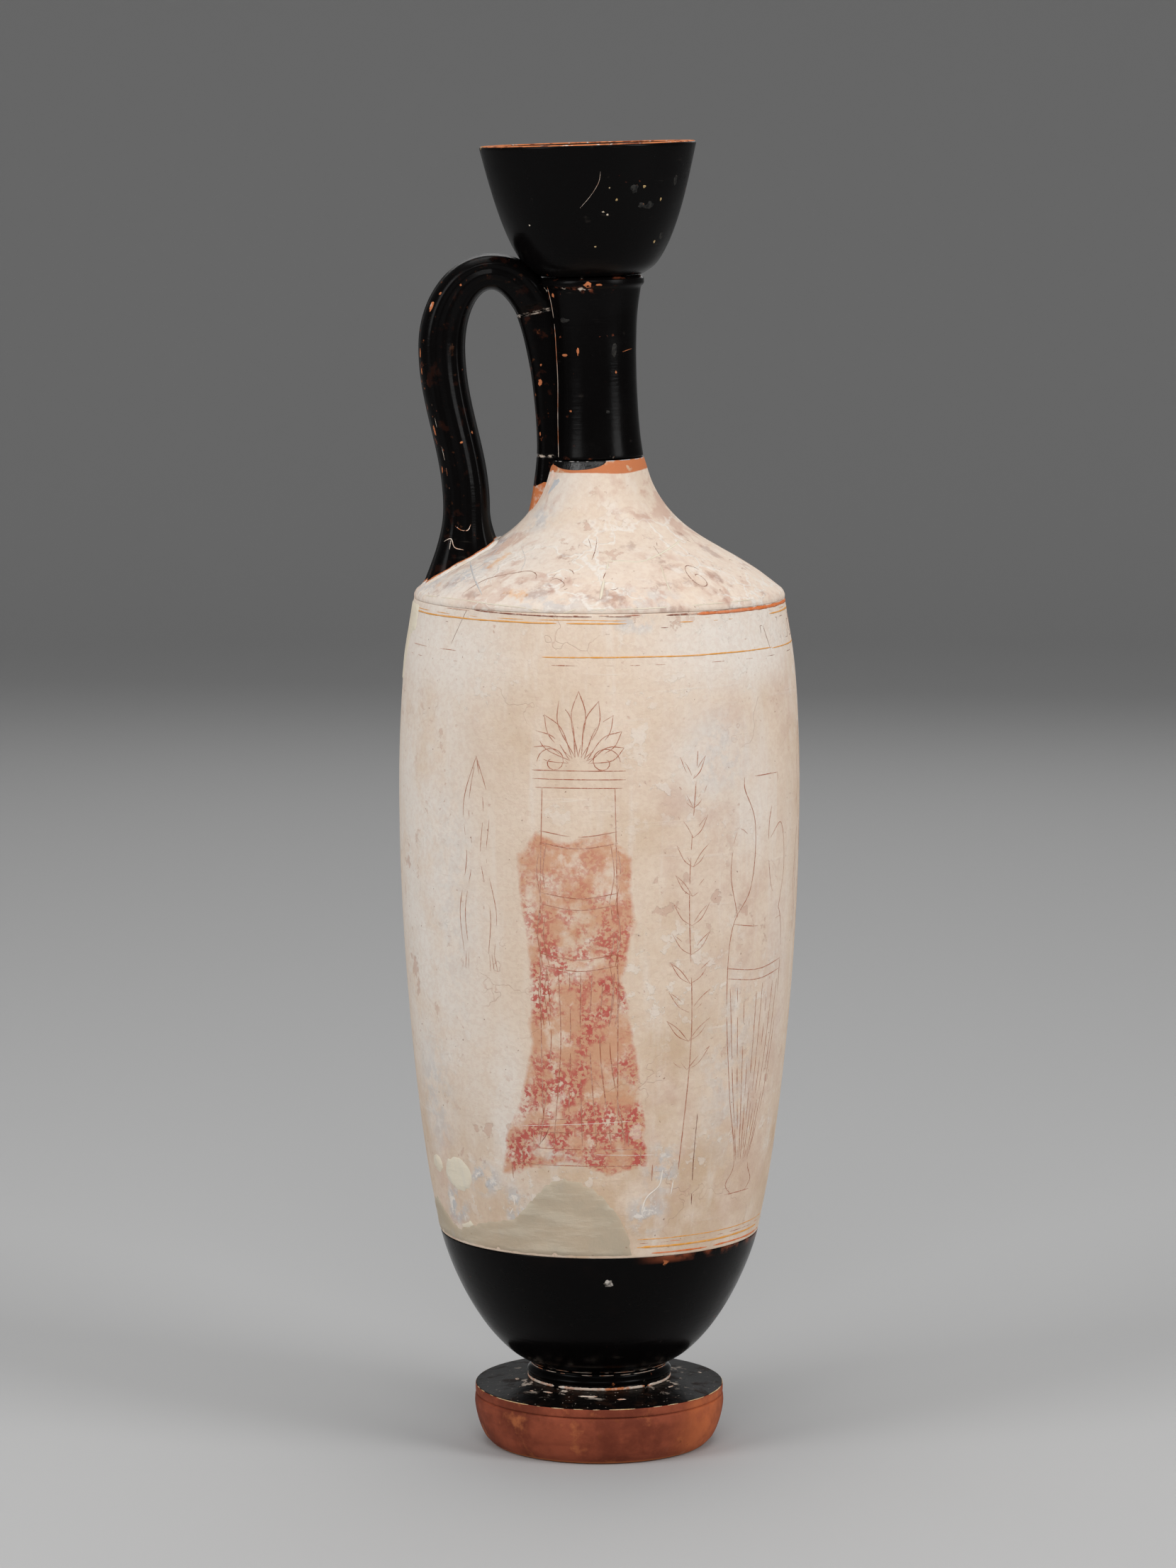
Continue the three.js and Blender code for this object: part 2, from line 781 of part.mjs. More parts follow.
// Cuts each plaster fill out of the wall, and returns the wall with the fills beside it.
function makeWallAndFills() {
  const whole = makeWall();
  const perMillimetre = THREE.MathUtils.radToDeg(1 / blackLineRadius);
  const large = oval(largePlugWidth, largePlugHeight, largePlugAngle, largePlugLift, perMillimetre);
  const small = oval(smallPlugWidth, smallPlugHeight, smallPlugAngle, smallPlugLift, perMillimetre);
  const fills = [
    ['front_fill', frontFillOutline(), blackLine],
    ['upper_fill', upperFillOutline(), wallTop],
    ['large_plug', large, blackLine],
    ['small_plug', small, blackLine],
  ];
  let wall = whole;
  const pieces = {};
  for (const [name, outline, reference] of fills) {
    wall = wall.subtract(radialBlock(grown(outline, jointGap, perMillimetre), reference));
    pieces[name] = whole.intersect(radialBlock(outline, reference));
  }
  return { body_wall: wall, ...pieces };
}

const blackGloss = { color: 0x0f0e0d, roughness: 0.28, metalness: 0 };
const whiteGround = { color: 0xdccfbf, roughness: 0.8, metalness: 0 };
const redWash = { color: 0x8c4a3a, roughness: 0.7, metalness: 0 };
const rawClay = { color: 0xb8754c, roughness: 0.9, metalness: 0 };
const plaster = { color: 0xe2d8c4, roughness: 0.9, metalness: 0 };

const landings = makeLandings();
const solids = {
  foot_disc: [makeFoot(), redWash],
  fillet_ring: [makeFillet(), blackGloss],
  lower_body: [makeBowl(), blackGloss],
  shoulder: [toSolid(makeShoulder()), whiteGround],
  oil_cup: [toSolid(makeOilCup()), rawClay],
  neck: [toSolid(makeNeck()), blackGloss],
  mouth: [toSolid(makeMouth()), blackGloss],
  handle: [makeHandle(landings), blackGloss],
  handle_tongue: [makeTongue(landings), blackGloss],
};
for (const [name, solid] of Object.entries(makeWallAndFills())) {
  solids[name] = [solid, name === 'body_wall' ? whiteGround : plaster];
}

const vase = new THREE.Group();
for (const [name, [solid, finish]] of Object.entries(solids)) {
  const mesh = new THREE.Mesh(toGeometry(solid), new THREE.MeshStandardMaterial(finish));
  mesh.name = name;
  vase.add(mesh);
}

export default vase;
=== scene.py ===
import math
import random

import bmesh
import bpy
from bpy.props import FloatProperty, FloatVectorProperty, IntProperty, PointerProperty
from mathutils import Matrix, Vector, geometry, noise


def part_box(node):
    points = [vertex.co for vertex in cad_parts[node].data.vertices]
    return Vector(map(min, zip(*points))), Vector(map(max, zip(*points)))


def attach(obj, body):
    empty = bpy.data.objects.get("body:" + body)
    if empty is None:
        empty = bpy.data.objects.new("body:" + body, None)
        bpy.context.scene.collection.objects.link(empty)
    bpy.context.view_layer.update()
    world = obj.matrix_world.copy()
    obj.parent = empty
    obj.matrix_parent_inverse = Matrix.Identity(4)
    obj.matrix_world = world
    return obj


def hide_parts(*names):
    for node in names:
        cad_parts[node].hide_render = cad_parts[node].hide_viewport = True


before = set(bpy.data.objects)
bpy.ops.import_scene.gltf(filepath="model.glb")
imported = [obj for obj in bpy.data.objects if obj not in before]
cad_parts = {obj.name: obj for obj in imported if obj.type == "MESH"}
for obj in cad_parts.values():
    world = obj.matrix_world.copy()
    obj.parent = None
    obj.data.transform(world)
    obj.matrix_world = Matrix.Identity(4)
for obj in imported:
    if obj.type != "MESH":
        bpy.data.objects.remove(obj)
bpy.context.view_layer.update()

bl_info = {
    "name": "Clay Oil Flask",
    "version": (1, 0, 0),
    "blender": (4, 5, 0),
    "location": "3D View > Sidebar > Flask",
    "description": "Dresses a one-handled clay oil flask: its slips, gloss, paint, fills and wear",
    "category": "Add Mesh",
}

WALL_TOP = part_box("body_wall")[1].z
MM = 0.001
GLOSS_SPECULAR = 0.06

# The camera, and the photograph whose pixels place the marks that it shows
PHOTO_WIDTH, PHOTO_HEIGHT = 1659, 2212
EYE = Vector((-0.0034, -1.6548, 0.4102))
TILT = math.radians(7.249)
LENS, SENSOR = 128.2, 36
FOCAL_PIXELS = LENS / SENSOR * PHOTO_HEIGHT
PIXELS_PER_MM = FOCAL_PIXELS * MM / EYE.length


# Sizes and colours that a user would change

def length(name, description, default):
    return FloatProperty(name=name, description=description, default=default * MM, unit="LENGTH")


def colour(name, description, red, green, blue):
    default = [linear(part / 255) for part in (red, green, blue)] + [1.0]
    return FloatVectorProperty(
        name=name, description=description, default=default, size=4, subtype="COLOR", min=0, max=1
    )


def linear(value):
    return value / 12.92 if value <= 0.04045 else ((value + 0.055) / 1.055) ** 2.4


class FlaskThrowing(bpy.types.PropertyGroup):
    """How the thrown pieces are turned."""
    sides: IntProperty(name="Sides", description="Facets round each thrown piece", default=216)
    row: length("Row", "Height of one row of facets on an outside", 1.3)
    soft_edge: length("Soft edge", "How far each sharp edge is rounded", 0.45)
    wobble: length("Wobble", "How far the hand-thrown walls stray from true round", 0.16)
    lean_start: length("Lean start", "Height where the neck begins to lean", 262)
    lean_bend: length("Lean bend", "Length of the bend that the lean takes", 20)
    lean: FloatProperty(
        name="Lean",
        description="How far the neck and mouth tip towards the handle",
        default=math.radians(1.72),
        subtype="ANGLE",
    )


def place(name, description, reach, height):
    """A place on the handle: its reach from the axis, and its height from the shoulder's edge."""
    return FloatVectorProperty(
        name=name, description=description, default=(reach * MM, height * MM), size=2, unit="LENGTH"
    )


class FlaskHandle(bpy.types.PropertyGroup):
    """The strap handle and its broken-off tongue."""
    edge: length("Edge", "Height of the shoulder's edge over the wall", 2.2)
    toe: place("Toe", "Where the outer side starts", 53.4, -1.2)
    heel: place("Heel", "Where the inner side starts", 28, 8.2)
    waist: place("Waist", "Where the outer side stands upright low down", 46.4, 24)
    belly: place("Belly", "Where the outer side reaches out furthest", 53.6, 71.8)
    crown: place("Crown", "Top of the strap", 31.8, 99.5)
    tip: place("Tip", "Where the outer side ends, in the neck", 12, 84)
    parting: place("Parting", "Where the inner side ends, at the break", 24.3, 81.1)
    tongue_waist: place("Tongue waist", "Where the tongue's free side stands upright", 18.5, 43)
    tongue_toe: place("Tongue toe", "Where the tongue ends on the collar", 21.8, 20.8)
    thickness: length("Thickness", "Strap from its inner to its outer side", 13.9)
    crown_thickness: length("Crown thickness", "Strap at its top", 10.8)
    root_width: length("Root width", "Strap on the shoulder", 23.5)
    width: length("Width", "Strap from near to far side", 19)
    tip_width: length("Tip width", "Strap where it meets the neck", 11)
    tongue_width: length("Tongue width", "Tongue from near to far side", 10)
    tongue_buried: length("Tongue buried", "Reach of the tongue's hidden side", 9)
    break_rise: FloatProperty(
        name="Break rise", description="Slope of the break towards the neck", default=0.24
    )


class FlaskPaint(bpy.types.PropertyGroup):
    """The painter's lines and the later losses."""
    brush: FloatProperty(name="Brush", description="Scale of every painted line's width", default=1)
    relief: FloatProperty(name="Relief", description="Share of its width that a line stands up", default=0.12)
    lift: length("Lift", "How far a painted line lies over the slip", 0.02)
    fill_lift: length("Fill lift", "How far the plaster stands over the slip", 0.22)
    chip_seed: IntProperty(name="Chip seed", description="Which places have lost a chip", default=11)


class FlaskColours(bpy.types.PropertyGroup):
    """Fired and painted colours."""
    gloss: colour("Gloss", "Black gloss of mouth, neck, handle and bowl", 8, 7, 7)
    gloss_thin: colour("Thin gloss", "Gloss where it is brushed thin", 36, 22, 16)
    ground: colour("Ground", "White slip of the wall", 227, 208, 189)
    ground_chalk: colour("Chalk", "Slip where it is thick and cool", 231, 222, 212)
    ground_warm: colour("Warm slip", "Slip where it has worn thin", 207, 180, 152)
    ground_rose: colour("Rose slip", "Slip stained by the clay below", 198, 162, 144)
    slip_pink: colour("Pink slip", "Wedge of slip beside the tongue", 224, 192, 174)
    slip_grey: colour("Grey slip", "Bluish grey crust and joints", 190, 190, 192)
    clay: colour("Clay", "Bare fired clay", 196, 118, 74)
    clay_dark: colour("Dark clay", "Fired clay in the shade of a seam", 120, 62, 40)
    foot_red: colour("Foot red", "Red wash on the side of the foot", 150, 78, 56)
    foot_orange: colour("Foot varnish", "Orange brown of the foot's right side", 192, 106, 66)
    foot_dark: colour("Foot dark", "Burnt red of the foot", 112, 55, 40)
    plaster: colour("Plaster", "Later fills", 182, 168, 147)
    plaster_pale: colour("Pale plaster", "Thin edges and joins of the fills", 226, 216, 196)
    vent_rim: colour("Vent rim", "Worn ring round the vent hole", 72, 66, 58)
    scuffed: colour("Scuffed gloss", "Gloss rubbed to a dull grey", 40, 38, 35)
    wash_red: colour("Red wash", "Strong red of the painted cloth", 186, 84, 76)
    wash_tan: colour("Tan wash", "Orange brown of the painted cloth", 200, 138, 98)
    chip_olive: colour("Olive chip", "Small spots in the gloss", 166, 140, 96)
    edge_cream: colour("Edge cream", "Thin cream line round the foot's top", 198, 160, 108)
    line_red: colour("Red line", "Thin dilute outline", 168, 96, 68)
    line_ochre: colour("Ochre line", "Yellow brown framing lines", 224, 154, 60)
    line_orange: colour("Orange band", "Thick orange band under the shoulder", 214, 108, 38)
    line_dark: colour("Dark line", "Remains of the dark pattern", 128, 70, 50)
    dust: colour("Dust", "Pale dust and slip in seams", 214, 196, 180)


# The frame's shapes

def lean_point(point):
    """Tips a point above the start of the lean, as the thrown pieces are tipped."""
    throwing = bpy.context.scene.flask_throwing
    start, bend, angle = throwing.lean_start, throwing.lean_bend, throwing.lean
    rise = max(0.0, point.z - start)
    turn = min(rise, bend) / bend * angle
    straight = max(0.0, rise - bend)
    radius = bend / angle
    axis_x = -radius * (1 - math.cos(turn)) - straight * math.sin(turn)
    axis_z = min(point.z, start) + radius * math.sin(turn) + straight * math.cos(turn)
    return Vector((
        axis_x + point.x * math.cos(turn),
        point.y,
        axis_z + point.x * math.sin(turn),
    ))


def upright_height(height):
    """The height that a point on the leaning axis had before the lean."""
    throwing = bpy.context.scene.flask_throwing
    start, bend, angle = throwing.lean_start, throwing.lean_bend, throwing.lean
    radius = bend / angle
    if height <= start:
        return height
    top = radius * math.sin(angle)
    if height <= start + top:
        return start + math.asin((height - start) / radius) / angle * bend
    return start + bend + (height - start - top) / math.cos(angle)


def meridian(node):
    """A thrown node's outline on its back half: [radius, height] in order, as before the lean."""
    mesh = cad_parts[node].data
    places = {}
    for vertex in mesh.vertices:
        height = upright_height(vertex.co.z)
        axis = lean_point(Vector((0, 0, height)))
        if vertex.co.y > -1e-6 and abs(vertex.co.x - axis.x) < 8e-6 and abs(vertex.co.z - axis.z) < 8e-6:
            places[vertex.index] = (round(vertex.co.y, 6), round(height, 6))
    links = {}
    for edge in mesh.edges:
        a, b = (places.get(index) for index in edge.vertices)
        if a and b and a != b:
            links.setdefault(a, set()).add(b)
            links.setdefault(b, set()).add(a)
    on_axis = sorted((p for p in links if p[0] < 2e-5), key=lambda p: p[1])
    order = [on_axis[0] if on_axis else min(links, key=lambda p: (p[1], p[0]))]
    left = set(links) - set(order)
    while left:
        near = [p for p in links[order[-1]] if p in left]
        if len(order) == 1 and len(near) > 1:
            near = [max(near, key=lambda p: p[0] - p[1])]
        best = near[0] if near else min(left, key=lambda p: math.dist(p, order[-1]))
        order.append(best)
        left.discard(best)
    closed = not on_axis
    area = sum(
        a[0] * b[1] - b[0] * a[1] for a, b in zip(order, order[1:] + order[:1])
    )
    if area < 0:
        order.reverse()
    return [Vector(p) for p in order], closed


def curve_through(points, step, closed=False):
    """Points at an even step along a smooth line through the given points."""
    count = len(points)
    if count == 2:
        pieces = max(1, round((points[1] - points[0]).length / step))
        return [points[0].lerp(points[1], i / pieces) for i in range(pieces + 1)]
    found = []
    for i in range(count if closed else count - 1):
        p1, p2 = points[i], points[(i + 1) % count]
        p0 = points[i - 1] if closed or i > 0 else p1 * 2 - p2
        p3 = points[(i + 2) % count] if closed or i + 2 < count else p2 * 2 - p1
        t1 = max(1e-9, (p1 - p0).length) ** 0.5
        t2 = t1 + max(1e-9, (p2 - p1).length) ** 0.5
        t3 = t2 + max(1e-9, (p3 - p2).length) ** 0.5
        pieces = max(1, round((p2 - p1).length / step))
        for k in range(pieces):
            t = t1 + (t2 - t1) * k / pieces
            a1 = p0 * ((t1 - t) / t1) + p1 * (t / t1)
            a2 = p1 * ((t2 - t) / (t2 - t1)) + p2 * ((t - t1) / (t2 - t1))
            a3 = p2 * ((t3 - t) / (t3 - t2)) + p3 * ((t - t2) / (t3 - t2))
            b1 = a1 * ((t2 - t) / t2) + a2 * (t / t2)
            b2 = a2 * ((t3 - t) / (t3 - t1)) + a3 * ((t - t1) / (t3 - t1))
            found.append(b1 * ((t2 - t) / (t2 - t1)) + b2 * ((t - t1) / (t2 - t1)))
    if not closed:
        found.append(points[-1].copy())
    return found


def fair_outline(points, closed, corner=26):
    """Smooths an outline between its corners, and rounds each corner a little."""
    throwing = bpy.context.scene.flask_throwing
    count = len(points)

    def turn_at(i):
        if not closed and i in (0, count - 1):
            return 180
        before = points[i] - points[i - 1]
        after = points[(i + 1) % count] - points[i]
        return math.degrees(before.angle(after, 0))

    corners = [i for i in range(count) if turn_at(i) > corner]
    spans = list(zip(corners, corners[1:]))
    if closed:
        spans.append((corners[-1], corners[0] + count))
    runs = []
    for a, b in spans:
        run = [points[i % count] for i in range(a, b + 1)]
        rise = run[-1].y - run[0].y
        outside = rise > 0 and abs(rise) > 0.3 * abs(run[-1].x - run[0].x)
        if node_is_shallow(run):
            outside = run[0].x > run[-1].x
        runs.append(curve_through(run, throwing.row if outside else throwing.row * 2.5))
    soft = throwing.soft_edge
    outline = []
    for i, run in enumerate(runs):
        before = runs[i - 1] if closed or i > 0 else None
        after = runs[(i + 1) % len(runs)] if closed or i + 1 < len(runs) else None
        run_length = sum((b - a).length for a, b in zip(run, run[1:]))
        cut = min(soft, run_length * 0.3)
        part = trimmed(run, cut if before else 0, cut if after else 0)
        outline.extend(part)
        if after:
            next_length = sum((b - a).length for a, b in zip(after, after[1:]))
            next_cut = min(soft, next_length * 0.3)
            start, corner_point = part[-1], run[-1]
            end = trimmed(after, next_cut, 0)[0]
            for t in (0.33, 0.67):
                low = start.lerp(corner_point, t)
                high = corner_point.lerp(end, t)
                outline.append(low.lerp(high, t))
    return outline


def node_is_shallow(run):
    return abs(run[-1].y - run[0].y) < 0.3 * abs(run[-1].x - run[0].x)


def trimmed(run, start_cut, end_cut):
    """A run of points shortened at both ends by a distance along it."""
    points = [p.copy() for p in run]
    for cut, backwards in ((start_cut, False), (end_cut, True)):
        if backwards:
            points.reverse()
        left = cut
        while left > 0 and len(points) > 2 and (points[1] - points[0]).length <= left:
            left -= (points[1] - points[0]).length
            points.pop(0)
        if left > 0:
            step = (points[1] - points[0]).length
            points[0] = points[0].lerp(points[1], min(0.9, left / step))
        if backwards:
            points.reverse()
    return points


class Surface:
    """The outside of a thrown piece, as a radius for each height before the lean."""

    def __init__(self, outline):
        highest = max(p.y for p in outline)
        self.rows = []
        for a, b in zip(outline, outline[1:]):
            if b.y > a.y + 1e-7 and a.x > 1e-4:
                if not self.rows or a.y >= self.rows[-1][0] - 1e-7 or a.x > self.rows[-1][1]:
                    self.rows.append((a.y, a.x))
                    self.rows.append((b.y, b.x))
        self.rows.sort()
        self.top = highest

    def radius(self, height):
        rows = self.rows
        if height <= rows[0][0]:
            return rows[0][1]
        for (low, a), (high, b) in zip(rows, rows[1:]):
            if low <= height <= high:
                share = (height - low) / (high - low) if high > low else 0
                return a + (b - a) * share
        return rows[-1][1]

    def point(self, degrees, height, lift=0.0):
        turn = math.radians(degrees)
        radius = self.radius(height) + lift
        return lean_point(Vector((radius * math.sin(turn), -radius * math.cos(turn), height)))


SURFACES = {}


def seen(ground, across, down):
    """The place on a piece that the photograph shows at a pixel, or None beside the piece."""
    right = (across - PHOTO_WIDTH / 2) / FOCAL_PIXELS
    up = (PHOTO_HEIGHT / 2 - down) / FOCAL_PIXELS
    sight = Vector((
        right,
        math.cos(TILT) + up * math.sin(TILT),
        up * math.cos(TILT) - math.sin(TILT),
    ))
    hit, spot, normal, index = ground.ray_cast(EYE, sight.normalized())
    return spot if hit else None


def seen_at(ground, across, down):
    """What the photograph shows at a pixel of a thrown piece, as [degrees, height]."""
    spot = seen(ground, across, down)
    if spot is None:
        raise RuntimeError(f"pixel {across}, {down} misses {ground.name}")
    height = upright_height(spot.z)
    axis = lean_point(Vector((0, 0, height)))
    return math.degrees(math.atan2(spot.x - axis.x, -spot.y)), height / MM


class Seen:
    """A piece as the photograph shows it: a place for each pixel, in millimetres of the picture."""

    def __init__(self, name):
        self.ground = bpy.data.objects[name]
        bpy.context.view_layer.update()

    def point(self, across, down, lift=0.0):
        return seen(self.ground, across * PIXELS_PER_MM, down / MM * PIXELS_PER_MM)


def pixels(*places):
    """Pixels of the photograph, in millimetres of the picture."""
    return [(across / PIXELS_PER_MM, down / PIXELS_PER_MM) for across, down in places]


# Meshes

def new_object(name, data):
    thing = bpy.data.objects.new(name, data)
    bpy.context.scene.collection.objects.link(thing)
    return thing


def finish_piece(thing, slot, *nodes):
    """Puts a piece on the one body of the flask, in the place of its solids."""
    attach(thing, "root")
    if nodes:
        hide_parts(*nodes)
    return thing


def mesh_from(name, points, faces, finish, smooth=True):
    mesh = bpy.data.meshes.new(name)
    mesh.from_pydata([tuple(p) for p in points], [], faces)
    mesh.materials.append(finish)
    shape = bmesh.new()
    shape.from_mesh(mesh)
    bmesh.ops.remove_doubles(shape, verts=shape.verts, dist=1e-6)
    bmesh.ops.dissolve_degenerate(shape, edges=shape.edges, dist=1e-7)
    bmesh.ops.recalc_face_normals(shape, faces=shape.faces)
    for face in shape.faces:
        face.smooth = smooth
    shape.to_mesh(mesh)
    shape.free()
    return new_object(name, mesh)


def paint_values(mesh, name, value_at):
    """Keeps a number at each corner point of a mesh, for its material to read."""
    values = [float(value_at(vertex)) for vertex in mesh.vertices]
    attribute = mesh.attributes.new(name, "FLOAT", "POINT")
    attribute.data.foreach_set("value", values)


def heights_of(mesh):
    """Each corner point's height before the lean, in millimetres."""
    return [item.value for item in mesh.attributes["height"].data]


def smooth_share(value, low, high):
    share = min(1.0, max(0.0, (value - low) / (high - low)))
    return share * share * (3 - 2 * share)


def turn_of(point):
    """Degrees round from the front, towards the right."""
    return math.degrees(math.atan2(point.x, -point.y))


# Geometry node trees

class Graph:
    """A short way to add nodes to a tree and to join their sockets."""

    def __init__(self, tree):
        self.tree = tree
        self.count = 0

    def add(self, kind, sockets=None, **settings):
        node = self.tree.nodes.new(kind)
        node.location = ((self.count % 10) * 200, -(self.count // 10) * 320)
        self.count += 1
        for name, value in settings.items():
            setattr(node, name, value)
        for name, value in (sockets or {}).items():
            if isinstance(value, bpy.types.NodeSocket):
                self.tree.links.new(value, node.inputs[name])
            else:
                node.inputs[name].default_value = value
        return node

    def math(self, operation, a, b=0.0, c=0.0):
        node = self.add("ShaderNodeMath", {0: a, 1: b, 2: c}, operation=operation)
        return node.outputs[0]

    def vector(self, operation, a, b=(0, 0, 0)):
        node = self.add("ShaderNodeVectorMath", {0: a, 1: b}, operation=operation)
        return node.outputs["Value" if operation in ("DOT_PRODUCT", "LENGTH") else "Vector"]

    def scaled(self, vector, factor):
        node = self.add("ShaderNodeVectorMath", {0: vector, "Scale": factor}, operation="SCALE")
        return node.outputs["Vector"]


def geometry_tree(name, inputs):
    tree = bpy.data.node_groups.new(name, "GeometryNodeTree")
    tree.interface.new_socket("Geometry", in_out="INPUT", socket_type="NodeSocketGeometry")
    for label, kind, default in inputs:
        socket = tree.interface.new_socket(label, in_out="INPUT", socket_type=f"NodeSocket{kind}")
        if default is not None:
            socket.default_value = default
    tree.interface.new_socket("Geometry", in_out="OUTPUT", socket_type="NodeSocketGeometry")
    graph = Graph(tree)
    return tree, graph, graph.add("NodeGroupInput").outputs


def end_tree(graph, geometry, finish):
    """Makes real mesh of what the tree made, and gives it its finish."""
    real = graph.add("GeometryNodeRealizeInstances", {0: geometry}).outputs[0]
    dressed = graph.add("GeometryNodeSetMaterial", {"Geometry": real, "Material": finish})
    graph.add("NodeGroupOutput", {0: dressed.outputs[0]})


def thrown_tree():
    """Turns an outline on the wheel, with the slight wobble of a hand."""
    name = "Thrown piece"
    if name in bpy.data.node_groups:
        return bpy.data.node_groups[name]
    tree, graph, given = geometry_tree(name, [
        ("Outline", "Object", None),
        ("Sides", "Int", 216),
        ("Wheel radius", "Float", 0.01),
        ("Wobble", "Float", 0.0001),
        ("Wobble scale", "Float", 18.0),
        ("Seed", "Float", 1.0),
        ("Finish", "Material", None),
    ])
    outline = graph.add("GeometryNodeObjectInfo", {"Object": given["Outline"]}).outputs["Geometry"]
    wheel = graph.add(
        "GeometryNodeCurvePrimitiveCircle",
        {"Resolution": given["Sides"], "Radius": given["Wheel radius"]},
    )
    turned = graph.add(
        "GeometryNodeCurveToMesh",
        {"Curve": wheel.outputs["Curve"], "Profile Curve": outline, "Scale": 1.0},
    )
    merged = graph.add("GeometryNodeMergeByDistance", {"Geometry": turned.outputs[0], "Distance": 2e-6})
    place = graph.add("GeometryNodeInputPosition").outputs[0]
    wave = graph.add(
        "ShaderNodeTexNoise",
        {"Vector": place, "W": given["Seed"], "Scale": given["Wobble scale"], "Detail": 1.0},
        noise_dimensions="4D",
    )
    stray = graph.math("MULTIPLY", graph.math("SUBTRACT", wave.outputs[0], 0.5), given["Wobble"])
    flat = graph.vector("MULTIPLY", place, (1, 1, 0))
    outward = graph.vector("NORMALIZE", flat)
    moved = graph.add(
        "GeometryNodeSetPosition",
        {"Geometry": merged.outputs[0], "Offset": graph.scaled(outward, stray)},
    )
    smooth = graph.add("GeometryNodeSetShadeSmooth", {"Geometry": moved.outputs[0], "Shade Smooth": True})
    end_tree(graph, smooth.outputs[0], given["Finish"])
    return tree


def painted_tree():
    """Draws painted lines: each brush stroke lies on the surface below it, a little proud."""
    name = "Painted lines"
    if name in bpy.data.node_groups:
        return bpy.data.node_groups[name]
    tree, graph, given = geometry_tree(name, [
        ("Strokes", "Object", None),
        ("Surface", "Object", None),
        ("Brush", "Float", 1.0),
        ("Relief", "Float", 0.12),
        ("Lift", "Float", 0.00002),
        ("Finish", "Material", None),
    ])
    strokes = graph.add("GeometryNodeObjectInfo", {"Object": given["Strokes"]}).outputs["Geometry"]
    ground = graph.add("GeometryNodeObjectInfo", {"Object": given["Surface"]}).outputs["Geometry"]
    brush = graph.add("GeometryNodeCurvePrimitiveCircle", {"Resolution": 6, "Radius": 0.5})
    width = graph.math("MULTIPLY", graph.add("GeometryNodeInputRadius").outputs[0], given["Brush"])
    tube = graph.add("GeometryNodeCurveToMesh", {
        "Curve": strokes, "Profile Curve": brush.outputs["Curve"], "Scale": width, "Fill Caps": True,
    })
    place = graph.add("GeometryNodeInputPosition").outputs[0]
    near = graph.add("GeometryNodeProximity", {0: ground, "Sample Position": place}, target_element="FACES")
    facing = graph.add(
        "GeometryNodeSampleNearestSurface",
        {"Mesh": ground, "Value": graph.add("GeometryNodeInputNormal").outputs[0], "Sample Position": place},
        data_type="FLOAT_VECTOR",
    )
    foot, up = near.outputs["Position"], facing.outputs["Value"]
    rise = graph.vector("DOT_PRODUCT", graph.vector("SUBTRACT", place, foot), up)
    proud = graph.math("MULTIPLY_ADD", rise, given["Relief"], given["Lift"])
    laid = graph.add("GeometryNodeSetPosition", {
        "Geometry": tube.outputs[0], "Position": graph.vector("ADD", foot, graph.scaled(up, proud)),
    })
    smooth = graph.add("GeometryNodeSetShadeSmooth", {"Geometry": laid.outputs[0], "Shade Smooth": True})
    end_tree(graph, smooth.outputs[0], given["Finish"])
    return tree


def chip_tree():
    """Scatters small flaked chips over the gloss."""
    name = "Scattered chips"
    if name in bpy.data.node_groups:
        return bpy.data.node_groups[name]
    tree, graph, given = geometry_tree(name, [
        ("Surface", "Object", None),
        ("Flake", "Object", None),
        ("Density", "Float", 1000.0),
        ("Smallest", "Float", 0.0002),
        ("Largest", "Float", 0.0009),
        ("Seed", "Int", 11),
        ("Finish", "Material", None),
    ])
    ground = graph.add("GeometryNodeObjectInfo", {"Object": given["Surface"]}).outputs["Geometry"]
    flake = graph.add("GeometryNodeObjectInfo", {"Object": given["Flake"]}).outputs["Geometry"]
    worn = graph.add("GeometryNodeInputNamedAttribute", {"Name": "chips"}, data_type="FLOAT")
    density = graph.math("MULTIPLY", worn.outputs["Attribute"], given["Density"])
    points = graph.add("GeometryNodeDistributePointsOnFaces", {
        "Mesh": ground, "Density": density, "Seed": given["Seed"],
    })
    spin = graph.add("FunctionNodeRandomValue", {2: 0.0, 3: 6.283, "Seed": given["Seed"]}, data_type="FLOAT")
    turned = graph.add("FunctionNodeAxisAngleToRotation", {"Axis": (0, 0, 1), "Angle": spin.outputs[1]})
    facing = graph.add("FunctionNodeRotateRotation", {
        "Rotation": points.outputs["Rotation"], "Rotate By": turned.outputs[0],
    }, rotation_space="LOCAL")
    luck = graph.add("FunctionNodeRandomValue", {2: 0.0, 3: 1.0, "Seed": 5}, data_type="FLOAT")
    rare = graph.math("POWER", luck.outputs[1], 3.0)
    spread = graph.math("SUBTRACT", given["Largest"], given["Smallest"])
    size = graph.math("MULTIPLY_ADD", rare, spread, given["Smallest"])
    chips = graph.add("GeometryNodeInstanceOnPoints", {
        "Points": points.outputs["Points"],
        "Instance": flake,
        "Rotation": facing.outputs[0],
        "Scale": size,
    })
    end_tree(graph, chips.outputs[0], given["Finish"])
    return tree


